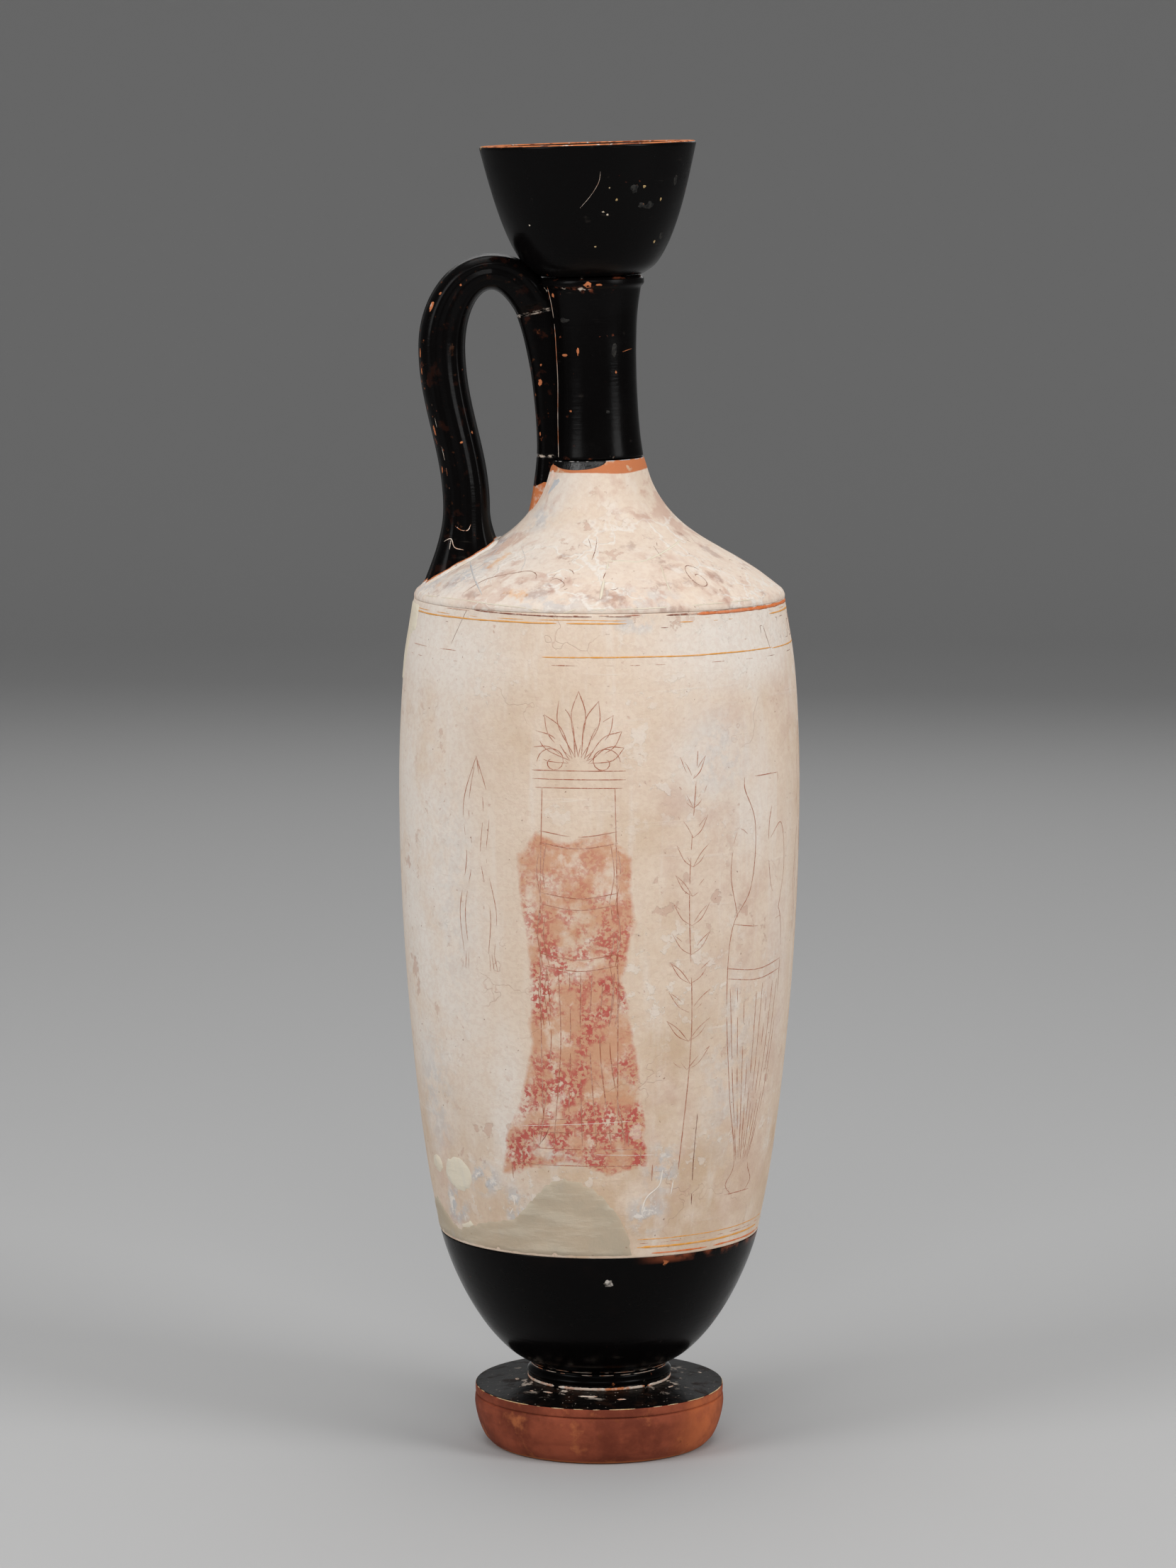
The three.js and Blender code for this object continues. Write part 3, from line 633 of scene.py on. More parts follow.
def grow(name, tree, values):
    """Runs a geometry tree on an empty mesh and keeps the result as a plain mesh."""
    host = new_object(name, bpy.data.meshes.new(name))
    modifier = host.modifiers.new(tree.name, "NODES")
    modifier.node_group = tree
    for item in tree.interface.items_tree:
        if item.item_type == "SOCKET" and item.in_out == "INPUT" and item.name in values:
            modifier[item.identifier] = values[item.name]
    bpy.context.view_layer.update()
    evaluated = host.evaluated_get(bpy.context.evaluated_depsgraph_get())
    mesh = bpy.data.meshes.new_from_object(evaluated)
    host.modifiers.remove(modifier)
    empty = host.data
    host.data = mesh
    mesh.name = name
    bpy.data.meshes.remove(empty)
    return host


def outline_object(name, outline, closed, wheel_radius):
    line = bpy.data.curves.new(name, "CURVE")
    line.dimensions = "3D"
    spline = line.splines.new("POLY")
    spline.points.add(len(outline) - 1)
    for place, point in zip(spline.points, outline):
        place.co = (point.x - wheel_radius, -point.y, 0, 1)
    spline.use_cyclic_u = closed
    return new_object(name, line)


def throw(name, node, finish, seed, wobble_share=1.0):
    """Throws one piece on the wheel from its solid's outline, and leans it."""
    throwing = bpy.context.scene.flask_throwing
    points, closed = meridian(node)
    outline = fair_outline(points, closed)
    SURFACES[node] = Surface(outline)
    wheel_radius = 0.01
    line = outline_object(name + "_outline", outline, closed, wheel_radius)
    piece = grow(name, thrown_tree(), {
        "Outline": line,
        "Sides": throwing.sides,
        "Wheel radius": wheel_radius,
        "Wobble": throwing.wobble * wobble_share,
        "Seed": seed,
        "Finish": finish,
    })
    bpy.data.objects.remove(line)
    mesh = piece.data
    shape = bmesh.new()
    shape.from_mesh(mesh)
    bmesh.ops.recalc_face_normals(shape, faces=shape.faces)
    shape.to_mesh(mesh)
    shape.free()
    paint_values(mesh, "height", lambda vertex: vertex.co.z / MM)
    normals = [vertex.normal.copy() for vertex in mesh.vertices]

    def inward(vertex):
        flat = Vector((vertex.co.x, vertex.co.y, 0))
        side = normals[vertex.index]
        if flat.length < 1e-5:
            return 0.0 if side.z < -0.5 or vertex.co.z < 0.02 else 1.0
        return 1.0 if side.dot(flat.normalized()) < -0.25 else 0.0

    paint_values(mesh, "inside", inward)
    for vertex in mesh.vertices:
        vertex.co = lean_point(vertex.co)
    mesh.update()
    return piece


# Shader node groups

def shader_group(name, inputs, outputs, build):
    if name in bpy.data.node_groups:
        return bpy.data.node_groups[name]
    tree = bpy.data.node_groups.new(name, "ShaderNodeTree")
    for label, kind, default in inputs:
        socket = tree.interface.new_socket(label, in_out="INPUT", socket_type=f"NodeSocket{kind}")
        if default is not None:
            socket.default_value = default
    for label, kind in outputs:
        tree.interface.new_socket(label, in_out="OUTPUT", socket_type=f"NodeSocket{kind}")
    graph = Graph(tree)
    given = graph.add("NodeGroupInput").outputs
    graph.add("NodeGroupOutput", build(graph, given))
    return tree


def uneven_group():
    """Cloudy patches with soft borders."""
    def build(graph, given):
        cloud = graph.add("ShaderNodeTexNoise", {
            "Vector": given["Vector"],
            "Scale": given["Scale"],
            "Detail": given["Detail"],
            "Roughness": 0.6,
            "Distortion": given["Distortion"],
        })
        mask = graph.add("ShaderNodeMapRange", {
            "Value": cloud.outputs[0], "From Min": given["Low"], "From Max": given["High"],
        }, interpolation_type="SMOOTHSTEP")
        return {"Mask": mask.outputs[0]}

    return shader_group("Uneven patches", [
        ("Vector", "Vector", None),
        ("Scale", "Float", 40.0),
        ("Detail", "Float", 4.0),
        ("Distortion", "Float", 0.0),
        ("Low", "Float", 0.4),
        ("High", "Float", 0.6),
    ], [("Mask", "Float")], build)


def speck_group():
    """Separate specks of uneven shape, in a share of the cells."""
    def build(graph, given):
        warp = graph.add("ShaderNodeTexNoise", {
            "Vector": given["Vector"], "Scale": graph.math("MULTIPLY", given["Scale"], 2.5), "Detail": 2.0,
        })
        shift = graph.scaled(
            graph.vector("SUBTRACT", warp.outputs["Color"], (0.5, 0.5, 0.5)),
            graph.math("DIVIDE", 0.7, given["Scale"]),
        )
        cells = graph.add("ShaderNodeTexVoronoi", {
            "Vector": graph.vector("ADD", given["Vector"], shift), "Scale": given["Scale"],
        })
        luck = graph.add("ShaderNodeSeparateColor", {0: cells.outputs["Color"]})
        reach = graph.math("MULTIPLY", given["Size"], luck.outputs[1])
        near = graph.add("ShaderNodeMapRange", {
            "Value": cells.outputs["Distance"],
            "From Min": reach,
            "From Max": graph.math("MULTIPLY", reach, 0.7),
        })
        kept = graph.math("LESS_THAN", luck.outputs[0], given["Share"])
        return {"Mask": graph.math("MULTIPLY", near.outputs[0], kept)}

    return shader_group("Specks", [
        ("Vector", "Vector", None),
        ("Scale", "Float", 300.0),
        ("Size", "Float", 0.35),
        ("Share", "Float", 0.2),
    ], [("Mask", "Float")], build)


def crack_group():
    """Fine broken cracks."""
    def build(graph, given):
        warp = graph.add("ShaderNodeTexNoise", {
            "Vector": given["Vector"], "Scale": graph.math("MULTIPLY", given["Scale"], 3.0), "Detail": 3.0,
        })
        shift = graph.scaled(
            graph.vector("SUBTRACT", warp.outputs["Color"], (0.5, 0.5, 0.5)),
            graph.math("DIVIDE", 0.8, given["Scale"]),
        )
        edges = graph.add("ShaderNodeTexVoronoi", {
            "Vector": graph.vector("ADD", given["Vector"], shift), "Scale": given["Scale"],
        }, feature="DISTANCE_TO_EDGE")
        line = graph.add("ShaderNodeMapRange", {
            "Value": edges.outputs["Distance"], "From Min": given["Width"], "From Max": 0.0,
        })
        patch = graph.add("ShaderNodeTexNoise", {
            "Vector": given["Vector"], "Scale": graph.math("MULTIPLY", given["Scale"], 0.6), "Detail": 2.0,
        })
        kept = graph.add("ShaderNodeMapRange", {
            "Value": patch.outputs[0],
            "From Min": given["Cover"],
            "From Max": graph.math("SUBTRACT", given["Cover"], 0.06),
        })
        return {"Mask": graph.math("MULTIPLY", line.outputs[0], kept.outputs[0])}

    return shader_group("Fine cracks", [
        ("Vector", "Vector", None),
        ("Scale", "Float", 60.0),
        ("Width", "Float", 0.02),
        ("Cover", "Float", 0.45),
    ], [("Mask", "Float")], build)


def wheel_group():
    """Faint rings left by the wheel and the smoothing tool."""
    def build(graph, given):
        stretched = graph.vector("MULTIPLY", given["Vector"], (0.06, 0.06, 1.0))
        rings = graph.add("ShaderNodeTexNoise", {
            "Vector": stretched, "Scale": given["Scale"], "Detail": 3.0, "Roughness": 0.7,
        })
        return {"Height": rings.outputs[0]}

    return shader_group("Wheel marks", [
        ("Vector", "Vector", None), ("Scale", "Float", 900.0),
    ], [("Height", "Float")], build)


def edge_group():
    """A painted border at a height, uneven as a brush leaves it."""
    def build(graph, given):
        waver = graph.add("ShaderNodeTexNoise", {
            "Vector": given["Vector"], "Scale": given["Scale"], "Detail": 4.0,
        })
        stray = graph.math("MULTIPLY", graph.math("SUBTRACT", waver.outputs[0], 0.5), given["Stray"])
        level = graph.math("ADD", given["Level"], stray)
        mask = graph.add("ShaderNodeMapRange", {
            "Value": level,
            "From Min": given["Border"],
            "From Max": graph.math("ADD", given["Border"], given["Softness"]),
        })
        return {"Mask": mask.outputs[0]}

    return shader_group("Painted border", [
        ("Vector", "Vector", None),
        ("Level", "Float", 0.0),
        ("Border", "Float", 0.0),
        ("Softness", "Float", 0.1),
        ("Scale", "Float", 150.0),
        ("Stray", "Float", 0.6),
    ], [("Mask", "Float")], build)


class Finish(Graph):
    """A material being mixed: a base colour that later layers cover in turn."""

    def __init__(self, name):
        self.material = bpy.data.materials.new(name)
        self.material.use_nodes = True
        super().__init__(self.material.node_tree)
        self.tree.nodes.clear()
        self.place = self.add("ShaderNodeTexCoord").outputs["Object"]
        self.shade = None
        self.relief = None

    def group(self, tree, output="Mask", **values):
        sockets = {name.replace("_", " "): value for name, value in values.items()}
        sockets.setdefault("Vector", self.place)
        node = self.add("ShaderNodeGroup", node_tree=tree)
        for name, value in sockets.items():
            if isinstance(value, bpy.types.NodeSocket):
                self.tree.links.new(value, node.inputs[name])
            else:
                node.inputs[name].default_value = value
        return node.outputs[output]

    def value(self, name):
        return self.add("ShaderNodeAttribute", attribute_name=name).outputs["Fac"]

    def uneven(self, scale, low=0.4, high=0.6, detail=4.0, distortion=0.0, vector=None):
        return self.group(
            uneven_group(), Scale=scale, Low=low, High=high, Detail=detail,
            Distortion=distortion, Vector=vector or self.place,
        )

    def border(self, name, border, softness, scale, stray):
        """The mask of a painted border that follows the value kept under a name."""
        return self.group(
            edge_group(), Level=self.value(name), Border=border, Softness=softness, Scale=scale, Stray=stray,
        )

    def specks(self, scale, size, share):
        return self.group(speck_group(), Scale=scale, Size=size, Share=share)

    def cracks(self, scale, width, cover):
        return self.group(crack_group(), Scale=scale, Width=width, Cover=cover)

    def stretched(self, across, up):
        return self.vector("MULTIPLY", self.place, (across, across, up))

    def times(self, *masks):
        product = masks[0]
        for mask in masks[1:]:
            product = self.math("MULTIPLY", product, mask)
        return product

    def start(self, colour_value):
        self.shade = tuple(colour_value)
        return self

    def cover(self, mask, colour_value):
        """Lays another colour over the shade so far, where the mask is 1."""
        if not isinstance(colour_value, bpy.types.NodeSocket):
            colour_value = tuple(colour_value)
        node = self.add(
            "ShaderNodeMix", {0: mask, 6: self.shade, 7: colour_value}, data_type="RGBA", clamp_factor=True
        )
        self.shade = node.outputs[2]
        return self

    def raised(self, mask, distance):
        """Adds to the relief, in metres, where the mask is 1."""
        part = self.math("MULTIPLY", mask, distance)
        self.relief = part if self.relief is None else self.math("ADD", self.relief, part)
        return self

    def done(self, roughness=0.6, specular=0.5, coat=0.0, coat_roughness=0.1, strength=1.0):
        shader = self.add("ShaderNodeBsdfPrincipled", {
            "Specular IOR Level": specular, "Coat Weight": coat, "Coat Roughness": coat_roughness,
        })
        for name, value in (("Base Color", self.shade), ("Roughness", roughness)):
            if isinstance(value, bpy.types.NodeSocket):
                self.tree.links.new(value, shader.inputs[name])
            else:
                shader.inputs[name].default_value = value
        if self.relief is not None:
            bump = self.add("ShaderNodeBump", {"Height": self.relief, "Strength": strength, "Distance": 1.0})
            self.tree.links.new(bump.outputs[0], shader.inputs["Normal"])
        self.add("ShaderNodeOutputMaterial", {"Surface": shader.outputs[0]})
        return self.material


def black_gloss(name, chips=0.05, dusty=0.0):
    """Black gloss: deep, with brush marks, faint scuffs, pinholes and a little dust."""
    tone = bpy.context.scene.flask_colours
    finish = Finish(name).start(tone.gloss)
    thin = finish.uneven(30, 0.58, 0.8, 5.0)
    finish.cover(finish.times(thin, 0.25), tone.gloss_thin)
    rings = finish.group(wheel_group(), "Height", Scale=1100.0)
    scuff = finish.uneven(900, 0.62, 0.8, 3.0, vector=finish.stretched(0.12, 1.0))
    finish.cover(finish.times(scuff, finish.uneven(55, 0.52, 0.7), 0.06), tone.dust)
    finish.cover(finish.times(finish.uneven(210, 0.66, 0.8, 6.0), 0.03 + dusty * 0.4), tone.dust)
    pin = finish.times(finish.specks(520, 0.26, chips), finish.uneven(24, 0.45, 0.6))
    finish.cover(finish.times(pin, 0.8), tone.clay_dark)
    flake = finish.times(finish.specks(260, 0.3, chips * 0.5), finish.uneven(30, 0.52, 0.58))
    finish.cover(flake, tone.clay)
    finish.raised(rings, 0.00004).raised(finish.uneven(140, 0.3, 0.7), 0.00002)
    finish.raised(pin, -0.0001).raised(flake, -0.0002)
    rough = finish.math("MULTIPLY_ADD", finish.uneven(90, 0.3, 0.8, 5.0), 0.14, 0.17)
    rough = finish.math("MULTIPLY_ADD", flake, 0.4, rough)
    return finish, rough


def root_slip_plain(name, tone_colour):
    """A smear of slip over the clay."""
    tone = bpy.context.scene.flask_colours
    finish = Finish(name).start(tone_colour)
    finish.cover(finish.times(finish.uneven(240, 0.5, 0.62, 7.0), 0.6), tone.ground_chalk)
    finish.cover(finish.times(finish.uneven(150, 0.6, 0.66, 6.0), 0.5), tone.ground_rose)
    finish.raised(finish.uneven(400, 0.3, 0.7, 6.0), 0.00012)
    return finish.done(0.85, 0.3)


def root_slip():
    """Slip round the handle's root: pale, with an orange rim where the gloss ends."""
    tone = bpy.context.scene.flask_colours
    finish = Finish("Root slip").start(tone.ground_chalk)
    finish.cover(finish.uneven(320, 0.45, 0.6, 6.0), tone.ground)
    finish.cover(finish.times(finish.uneven(260, 0.56, 0.62, 5.0), 0.7), tone.slip_grey)
    rim = finish.border("rim", 0.5, 0.2, 500.0, 0.9)
    finish.cover(rim, tone.clay)
    finish.cover(finish.times(finish.uneven(200, 0.62, 0.66, 5.0), 0.8), tone.clay_dark)
    finish.raised(finish.uneven(500, 0.3, 0.7, 6.0), 0.00012)
    return finish.done(0.85, 0.3)


def cover_inside(finish, tone):
    inside = finish.value("inside")
    finish.cover(finish.math("GREATER_THAN", inside, 0.5), tone.clay)
    return inside


def gloss_mouth():
    tone = bpy.context.scene.flask_colours
    finish, rough = black_gloss("Black gloss mouth", 0.07)
    lip = finish.border("lip", 0.5, 0.2, 420.0, 0.5)
    finish.cover(lip, tone.clay)
    finish.cover(finish.times(lip, finish.uneven(330, 0.5, 0.62, 5.0)), tone.clay_dark)
    finish.cover(finish.times(lip, finish.uneven(500, 0.6, 0.68, 3.0)), tone.dust)
    return finish.done(finish.math("MAXIMUM", rough, finish.times(lip, 0.8)), GLOSS_SPECULAR)


def gloss_neck():
    tone = bpy.context.scene.flask_colours
    finish, rough = black_gloss("Black gloss neck", 0.09)
    groove = finish.times(finish.value("groove"), finish.uneven(170, 0.56, 0.66, 5.0))
    finish.cover(groove, tone.clay_dark)
    finish.cover(finish.times(finish.value("groove"), finish.uneven(260, 0.64, 0.7, 5.0)), tone.dust)
    return finish.done(rough, GLOSS_SPECULAR)


def gloss_handle():
    tone = bpy.context.scene.flask_colours
    finish, rough = black_gloss("Black gloss handle", 0.12)
    worn = finish.times(finish.value("worn"), finish.uneven(190, 0.57, 0.64, 6.0))
    finish.cover(worn, tone.clay_dark)
    finish.cover(finish.times(finish.value("worn"), finish.uneven(420, 0.64, 0.7, 5.0)), tone.clay)
    bare = finish.border("bare", 0.5, 0.08, 240.0, 0.9)
    finish.cover(bare, tone.clay)
    finish.cover(finish.times(bare, finish.uneven(300, 0.5, 0.66, 5.0), 0.7), tone.dust)
    pale = finish.times(finish.value("pale"), finish.uneven(800, 0.46, 0.58, 5.0))
    finish.cover(pale, tone.dust)
    finish.raised(worn, -0.00015).raised(bare, -0.0002).raised(pale, 0.0001)
    return finish.done(finish.math("MAXIMUM", rough, finish.times(bare, 0.8)), GLOSS_SPECULAR)


def gloss_bowl():
    tone = bpy.context.scene.flask_colours
    finish, rough = black_gloss("Black gloss bowl", 0.07)
    brown = finish.times(finish.value("brown"), finish.uneven(120, 0.42, 0.62, 5.0))
    finish.cover(brown, tone.clay_dark)
    cover_inside(finish, tone)
    return finish.done(rough, GLOSS_SPECULAR)


def white_ground(name):
    """White slip: chalky and cool in places, warm and rosy in others, wiped, flaked and cracked."""
    tone = bpy.context.scene.flask_colours
    finish = Finish(name).start(tone.ground)
    warm = finish.math("ADD", finish.value("warm"), finish.times(finish.uneven(26, 0.4, 0.7, 7.0), 0.5))
    finish.cover(finish.times(warm, finish.uneven(70, 0.25, 0.65, 9.0)), tone.ground_warm)
    rose = finish.math("ADD", finish.value("rose"), finish.times(finish.uneven(33, 0.5, 0.75, 6.0), 0.25))
    finish.cover(finish.times(rose, finish.uneven(120, 0.38, 0.68, 9.0)), tone.ground_rose)
    chalk = finish.value("chalk")
    finish.cover(finish.times(chalk, finish.uneven(52, 0.22, 0.58, 8.0)), tone.ground_chalk)
    grain = finish.uneven(700, 0.42, 0.62, 3.0)
    finish.cover(finish.times(grain, 0.16), tone.ground_rose)
    wiped = finish.uneven(210, 0.5, 0.75, 5.0, vector=finish.stretched(1.0, 0.08))
    finish.cover(finish.times(wiped, 0.4), tone.ground_chalk)
    drawn = finish.uneven(420, 0.6, 0.72, 4.0, vector=finish.stretched(0.07, 1.0))
    finish.cover(finish.times(drawn, finish.uneven(30, 0.45, 0.65), 0.4), tone.ground_chalk)
    flaked = finish.times(finish.uneven(230, 0.57, 0.59, 10.0), finish.uneven(22, 0.48, 0.6, 4.0))
    finish.cover(finish.times(flaked, 0.45), tone.ground_chalk)
    lost = finish.times(finish.uneven(170, 0.6, 0.62, 10.0), finish.uneven(19, 0.5, 0.62, 4.0))
    finish.cover(finish.times(lost, 0.55), tone.ground_rose)
    crust = finish.times(finish.value("crust"), finish.uneven(190, 0.42, 0.56, 9.0))
    finish.cover(finish.times(crust, 0.85), tone.slip_grey)
    finish.cover(finish.times(crust, finish.uneven(420, 0.52, 0.6, 6.0)), tone.ground_chalk)
    dots = finish.specks(620, 0.32, 0.16)
    finish.cover(finish.times(dots, finish.uneven(42, 0.42, 0.62), 0.6), tone.ground_rose)
    grit = finish.specks(800, 0.26, 0.06)
    finish.cover(finish.times(grit, 0.6), tone.clay_dark)
    hair = finish.cracks(34, 0.010, 0.46)
    finish.cover(finish.times(hair, 0.5), tone.ground_rose)
    finish.raised(grain, 0.00003).raised(finish.uneven(160, 0.3, 0.7, 8.0), 0.00009)
    finish.raised(drawn, 0.00003).raised(flaked, 0.00005).raised(lost, -0.00006)
    finish.raised(dots, -0.00005).raised(crust, 0.0001).raised(hair, -0.00008)
    return finish


def ground_wall():
    tone = bpy.context.scene.flask_colours
    finish = white_ground("White ground wall")
    wash = finish.value("wash")
    edge = finish.group(edge_group(), Level=wash, Border=0.42, Softness=0.3, Scale=150.0, Stray=0.9)
    finish.cover(finish.times(edge, finish.uneven(130, 0.3, 0.56, 9.0), 0.75), tone.wash_tan)
    patchy = finish.uneven(820, 0.46, 0.53, 8.0)
    broad = finish.uneven(120, 0.40, 0.58, 9.0)
    strong = finish.times(edge, patchy, broad, finish.value("strong"))
    finish.cover(finish.times(strong, 0.95), tone.wash_red)
    bald = finish.times(edge, finish.uneven(110, 0.58, 0.64, 9.0), 0.6)
    finish.cover(bald, tone.ground)
    finish.raised(strong, 0.00003)
    cover_inside(finish, tone)
    return finish.done(0.78, 0.35)


def ground_shoulder():
    tone = bpy.context.scene.flask_colours
    finish = white_ground("White ground shoulder")
    smear = finish.times(finish.uneven(85, 0.52, 0.62, 9.0, 0.6), finish.uneven(30, 0.4, 0.6))
    finish.cover(finish.times(smear, 0.7), tone.ground_rose)
    stain = finish.times(finish.uneven(62, 0.62, 0.7, 8.0), finish.value("slope"), 0.5)
    finish.cover(stain, tone.line_ochre)
    web = finish.times(finish.cracks(46, 0.035, 0.56), finish.value("slope"))
    finish.cover(web, tone.ground_chalk)
    smoke = finish.times(finish.uneven(120, 0.56, 0.66, 9.0), finish.value("slope"), 0.35)
    finish.cover(smoke, tone.line_dark)
    finish.raised(web, 0.00012)
    orange = finish.border("collar_clay", 0.0, 0.3, 160.0, 0.6)
    finish.cover(orange, tone.clay)
    finish.cover(finish.times(orange, finish.uneven(260, 0.55, 0.7, 5.0)), tone.ground_warm)
    black = finish.border("collar_black", 0.0, 0.12, 120.0, 0.25)
    finish.cover(black, tone.gloss)
    cover_inside(finish, tone)
    rough = finish.math("SUBTRACT", 0.78, finish.times(black, 0.5))
    return finish.done(rough, 0.38)


def plaster_finish(name="Plaster fill", pale=False):
    """Later plaster: plain and warm, brushed on, paler where it thins out over the slip."""
    tone = bpy.context.scene.flask_colours
    finish = Finish(name).start(tone.plaster_pale if pale else tone.plaster)
    finish.cover(finish.times(finish.uneven(55, 0.4, 0.7, 6.0), 0.35), tone.ground_warm)
    brushed = finish.uneven(260, 0.45, 0.7, 5.0, vector=finish.stretched(0.22, 1.0))
    finish.cover(finish.times(brushed, 0.3), tone.plaster_pale)
    swept = finish.uneven(320, 0.45, 0.7, 5.0, vector=finish.stretched(1.0, 0.3))
    finish.cover(finish.times(swept, finish.uneven(34, 0.45, 0.6), 0.25), tone.slip_grey)
    finish.cover(finish.times(finish.specks(500, 0.24, 0.04), 0.4), tone.clay_dark)
    if not pale:
        finish.cover(finish.times(finish.value("thin_edge"), 0.8), tone.plaster_pale)
    finish.raised(finish.uneven(220, 0.3, 0.7, 6.0), 0.00008)
    finish.raised(brushed, 0.00008).raised(swept, 0.00004)
    return finish.done(0.85, 0.3)


def scuffed_finish():
    """Gloss rubbed dull and grey; on the neck it also paints a highlight."""
    tone = bpy.context.scene.flask_colours
    finish = Finish("Scuffed gloss").start(tone.gloss)
    finish.cover(finish.uneven(900, 0.42, 0.56, 5.0), tone.scuffed)
    finish.cover(finish.specks(1500, 0.3, 0.12), tone.clay)
    return finish.done(0.6, 0.2)


def foot_finish():
    """The foot: black gloss on top, red wash on its side, worn back to the clay."""
    tone = bpy.context.scene.flask_colours
    finish = Finish("Foot").start(tone.foot_red)
    finish.cover(finish.uneven(62, 0.38, 0.62, 6.0), tone.foot_dark)
    finish.cover(finish.times(finish.uneven(120, 0.55, 0.7, 7.0), 0.55), tone.clay)
    streak = finish.uneven(300, 0.5, 0.7, 5.0, vector=finish.stretched(0.12, 1.0))
    finish.cover(finish.times(streak, 0.4), tone.foot_dark)
    finish.cover(finish.times(finish.value("varnish"), finish.uneven(60, 0.35, 0.6, 6.0)), tone.foot_orange)
    drawn_down = finish.value("varnish")
    smear = finish.times(drawn_down, finish.uneven(130, 0.6, 0.68, 4.0, vector=finish.stretched(1.0, 0.2)))
    finish.cover(finish.times(smear, 0.6), tone.ground_rose)
    finish.cover(finish.times(finish.specks(380, 0.3, 0.15), 0.7), tone.clay_dark)
    top = finish.border("top", 0.5, 0.08, 260.0, 0.35)
    finish.cover(top, tone.gloss)
    worn = finish.times(top, finish.uneven(170, 0.52, 0.64, 8.0))
    finish.cover(finish.times(worn, 0.75), tone.gloss_thin)
    dusty = finish.times(top, finish.value("near_fillet"), finish.uneven(230, 0.58, 0.64, 6.0))
    finish.cover(finish.times(top, finish.specks(1100, 0.3, 0.2), 0.5), tone.dust)
    finish.cover(dusty, tone.dust)
    below = finish.value("underneath")
    finish.cover(below, tone.clay)
    finish.raised(finish.uneven(240, 0.3, 0.7, 6.0), 0.00008).raised(dusty, 0.0001)
    rough = finish.math("MULTIPLY_ADD", top, -0.28, 0.62)
    rough = finish.math("MULTIPLY_ADD", worn, 0.2, rough)
    return finish.done(rough, GLOSS_SPECULAR)


def clay_finish(name="Raw clay"):
    tone = bpy.context.scene.flask_colours
    finish = Finish(name).start(tone.clay)
    finish.cover(finish.times(finish.uneven(60, 0.4, 0.7, 6.0), 0.6), tone.clay_dark)
    finish.cover(finish.times(finish.specks(400, 0.3, 0.2), 0.6), tone.dust)
    finish.raised(finish.uneven(260, 0.3, 0.7, 6.0), 0.0001)
    return finish.done(0.9, 0.3)


def dust_finish(name="Dust and slip"):
    tone = bpy.context.scene.flask_colours
    finish = Finish(name).start(tone.dust)
    finish.cover(finish.uneven(210, 0.45, 0.62, 6.0), tone.clay)
    finish.cover(finish.uneven(330, 0.58, 0.66, 5.0), tone.ground_chalk)
    finish.raised(finish.uneven(500, 0.3, 0.7, 5.0), 0.0001)
    return finish.done(0.9, 0.3)


def line_finish(name, tone_colour, fade=0.5):
    """A painted line that has worn and taken up the colour of the slip in places."""
    tone = bpy.context.scene.flask_colours
    finish = Finish(name).start(tone_colour)
    finish.cover(finish.times(finish.uneven(190, 0.38, 0.66, 6.0), fade), tone.ground)
    finish.cover(finish.times(finish.uneven(1100, 0.5, 0.62, 3.0), fade), tone.ground)
    return finish.done(0.7, 0.35)


# Thrown pieces

class FLASK_OT_foot(bpy.types.Operator):
    """Throw the foot and the moulded ring above it."""
    bl_idname = "flask.foot"
    bl_label = "Foot and Fillet"

    def execute(self, context):
        foot = throw("foot_turned", "foot_disc", foot_finish(), 3.1)
        low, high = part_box("fillet_ring")
        edge = high.x

        def top(vertex):
            radius = math.hypot(vertex.co.x, vertex.co.y)
            return smooth_share(vertex.co.z / MM, 17.2, 17.75) if radius > 0.02 else 1.0

        paint_values(foot.data, "top", top)
        paint_values(
            foot.data, "near_fillet",
            lambda v: 1 - smooth_share(math.hypot(v.co.x, v.co.y), edge, edge + 0.011),
        )
        paint_values(
            foot.data, "underneath",
            lambda v: 1 - smooth_share(v.co.z / MM, 0.2, 0.7) if v.co.z < 0.012
            and (v.co.z < 0.0008 or math.hypot(v.co.x, v.co.y) < 0.0285) else 0.0,
        )
        paint_values(
            foot.data, "varnish",
            lambda v: bump_at(turn_of(v.co), 62, 34) * smooth_share(-v.co.z, -0.0175, -0.017),
        )
        chipped(foot, lambda v, turn, height: 0.35 if height > 17 else 0.1)
        finish_piece(foot, "red_wash", "foot_disc")
        fillet_gloss, rough = black_gloss("Black gloss fillet", 0.2, 0.5)
        fillet = throw("fillet_moulding", "fillet_ring", fillet_gloss.done(rough, GLOSS_SPECULAR), 3.6)
        finish_piece(fillet, "black_gloss", "fillet_ring")
        return {"FINISHED"}


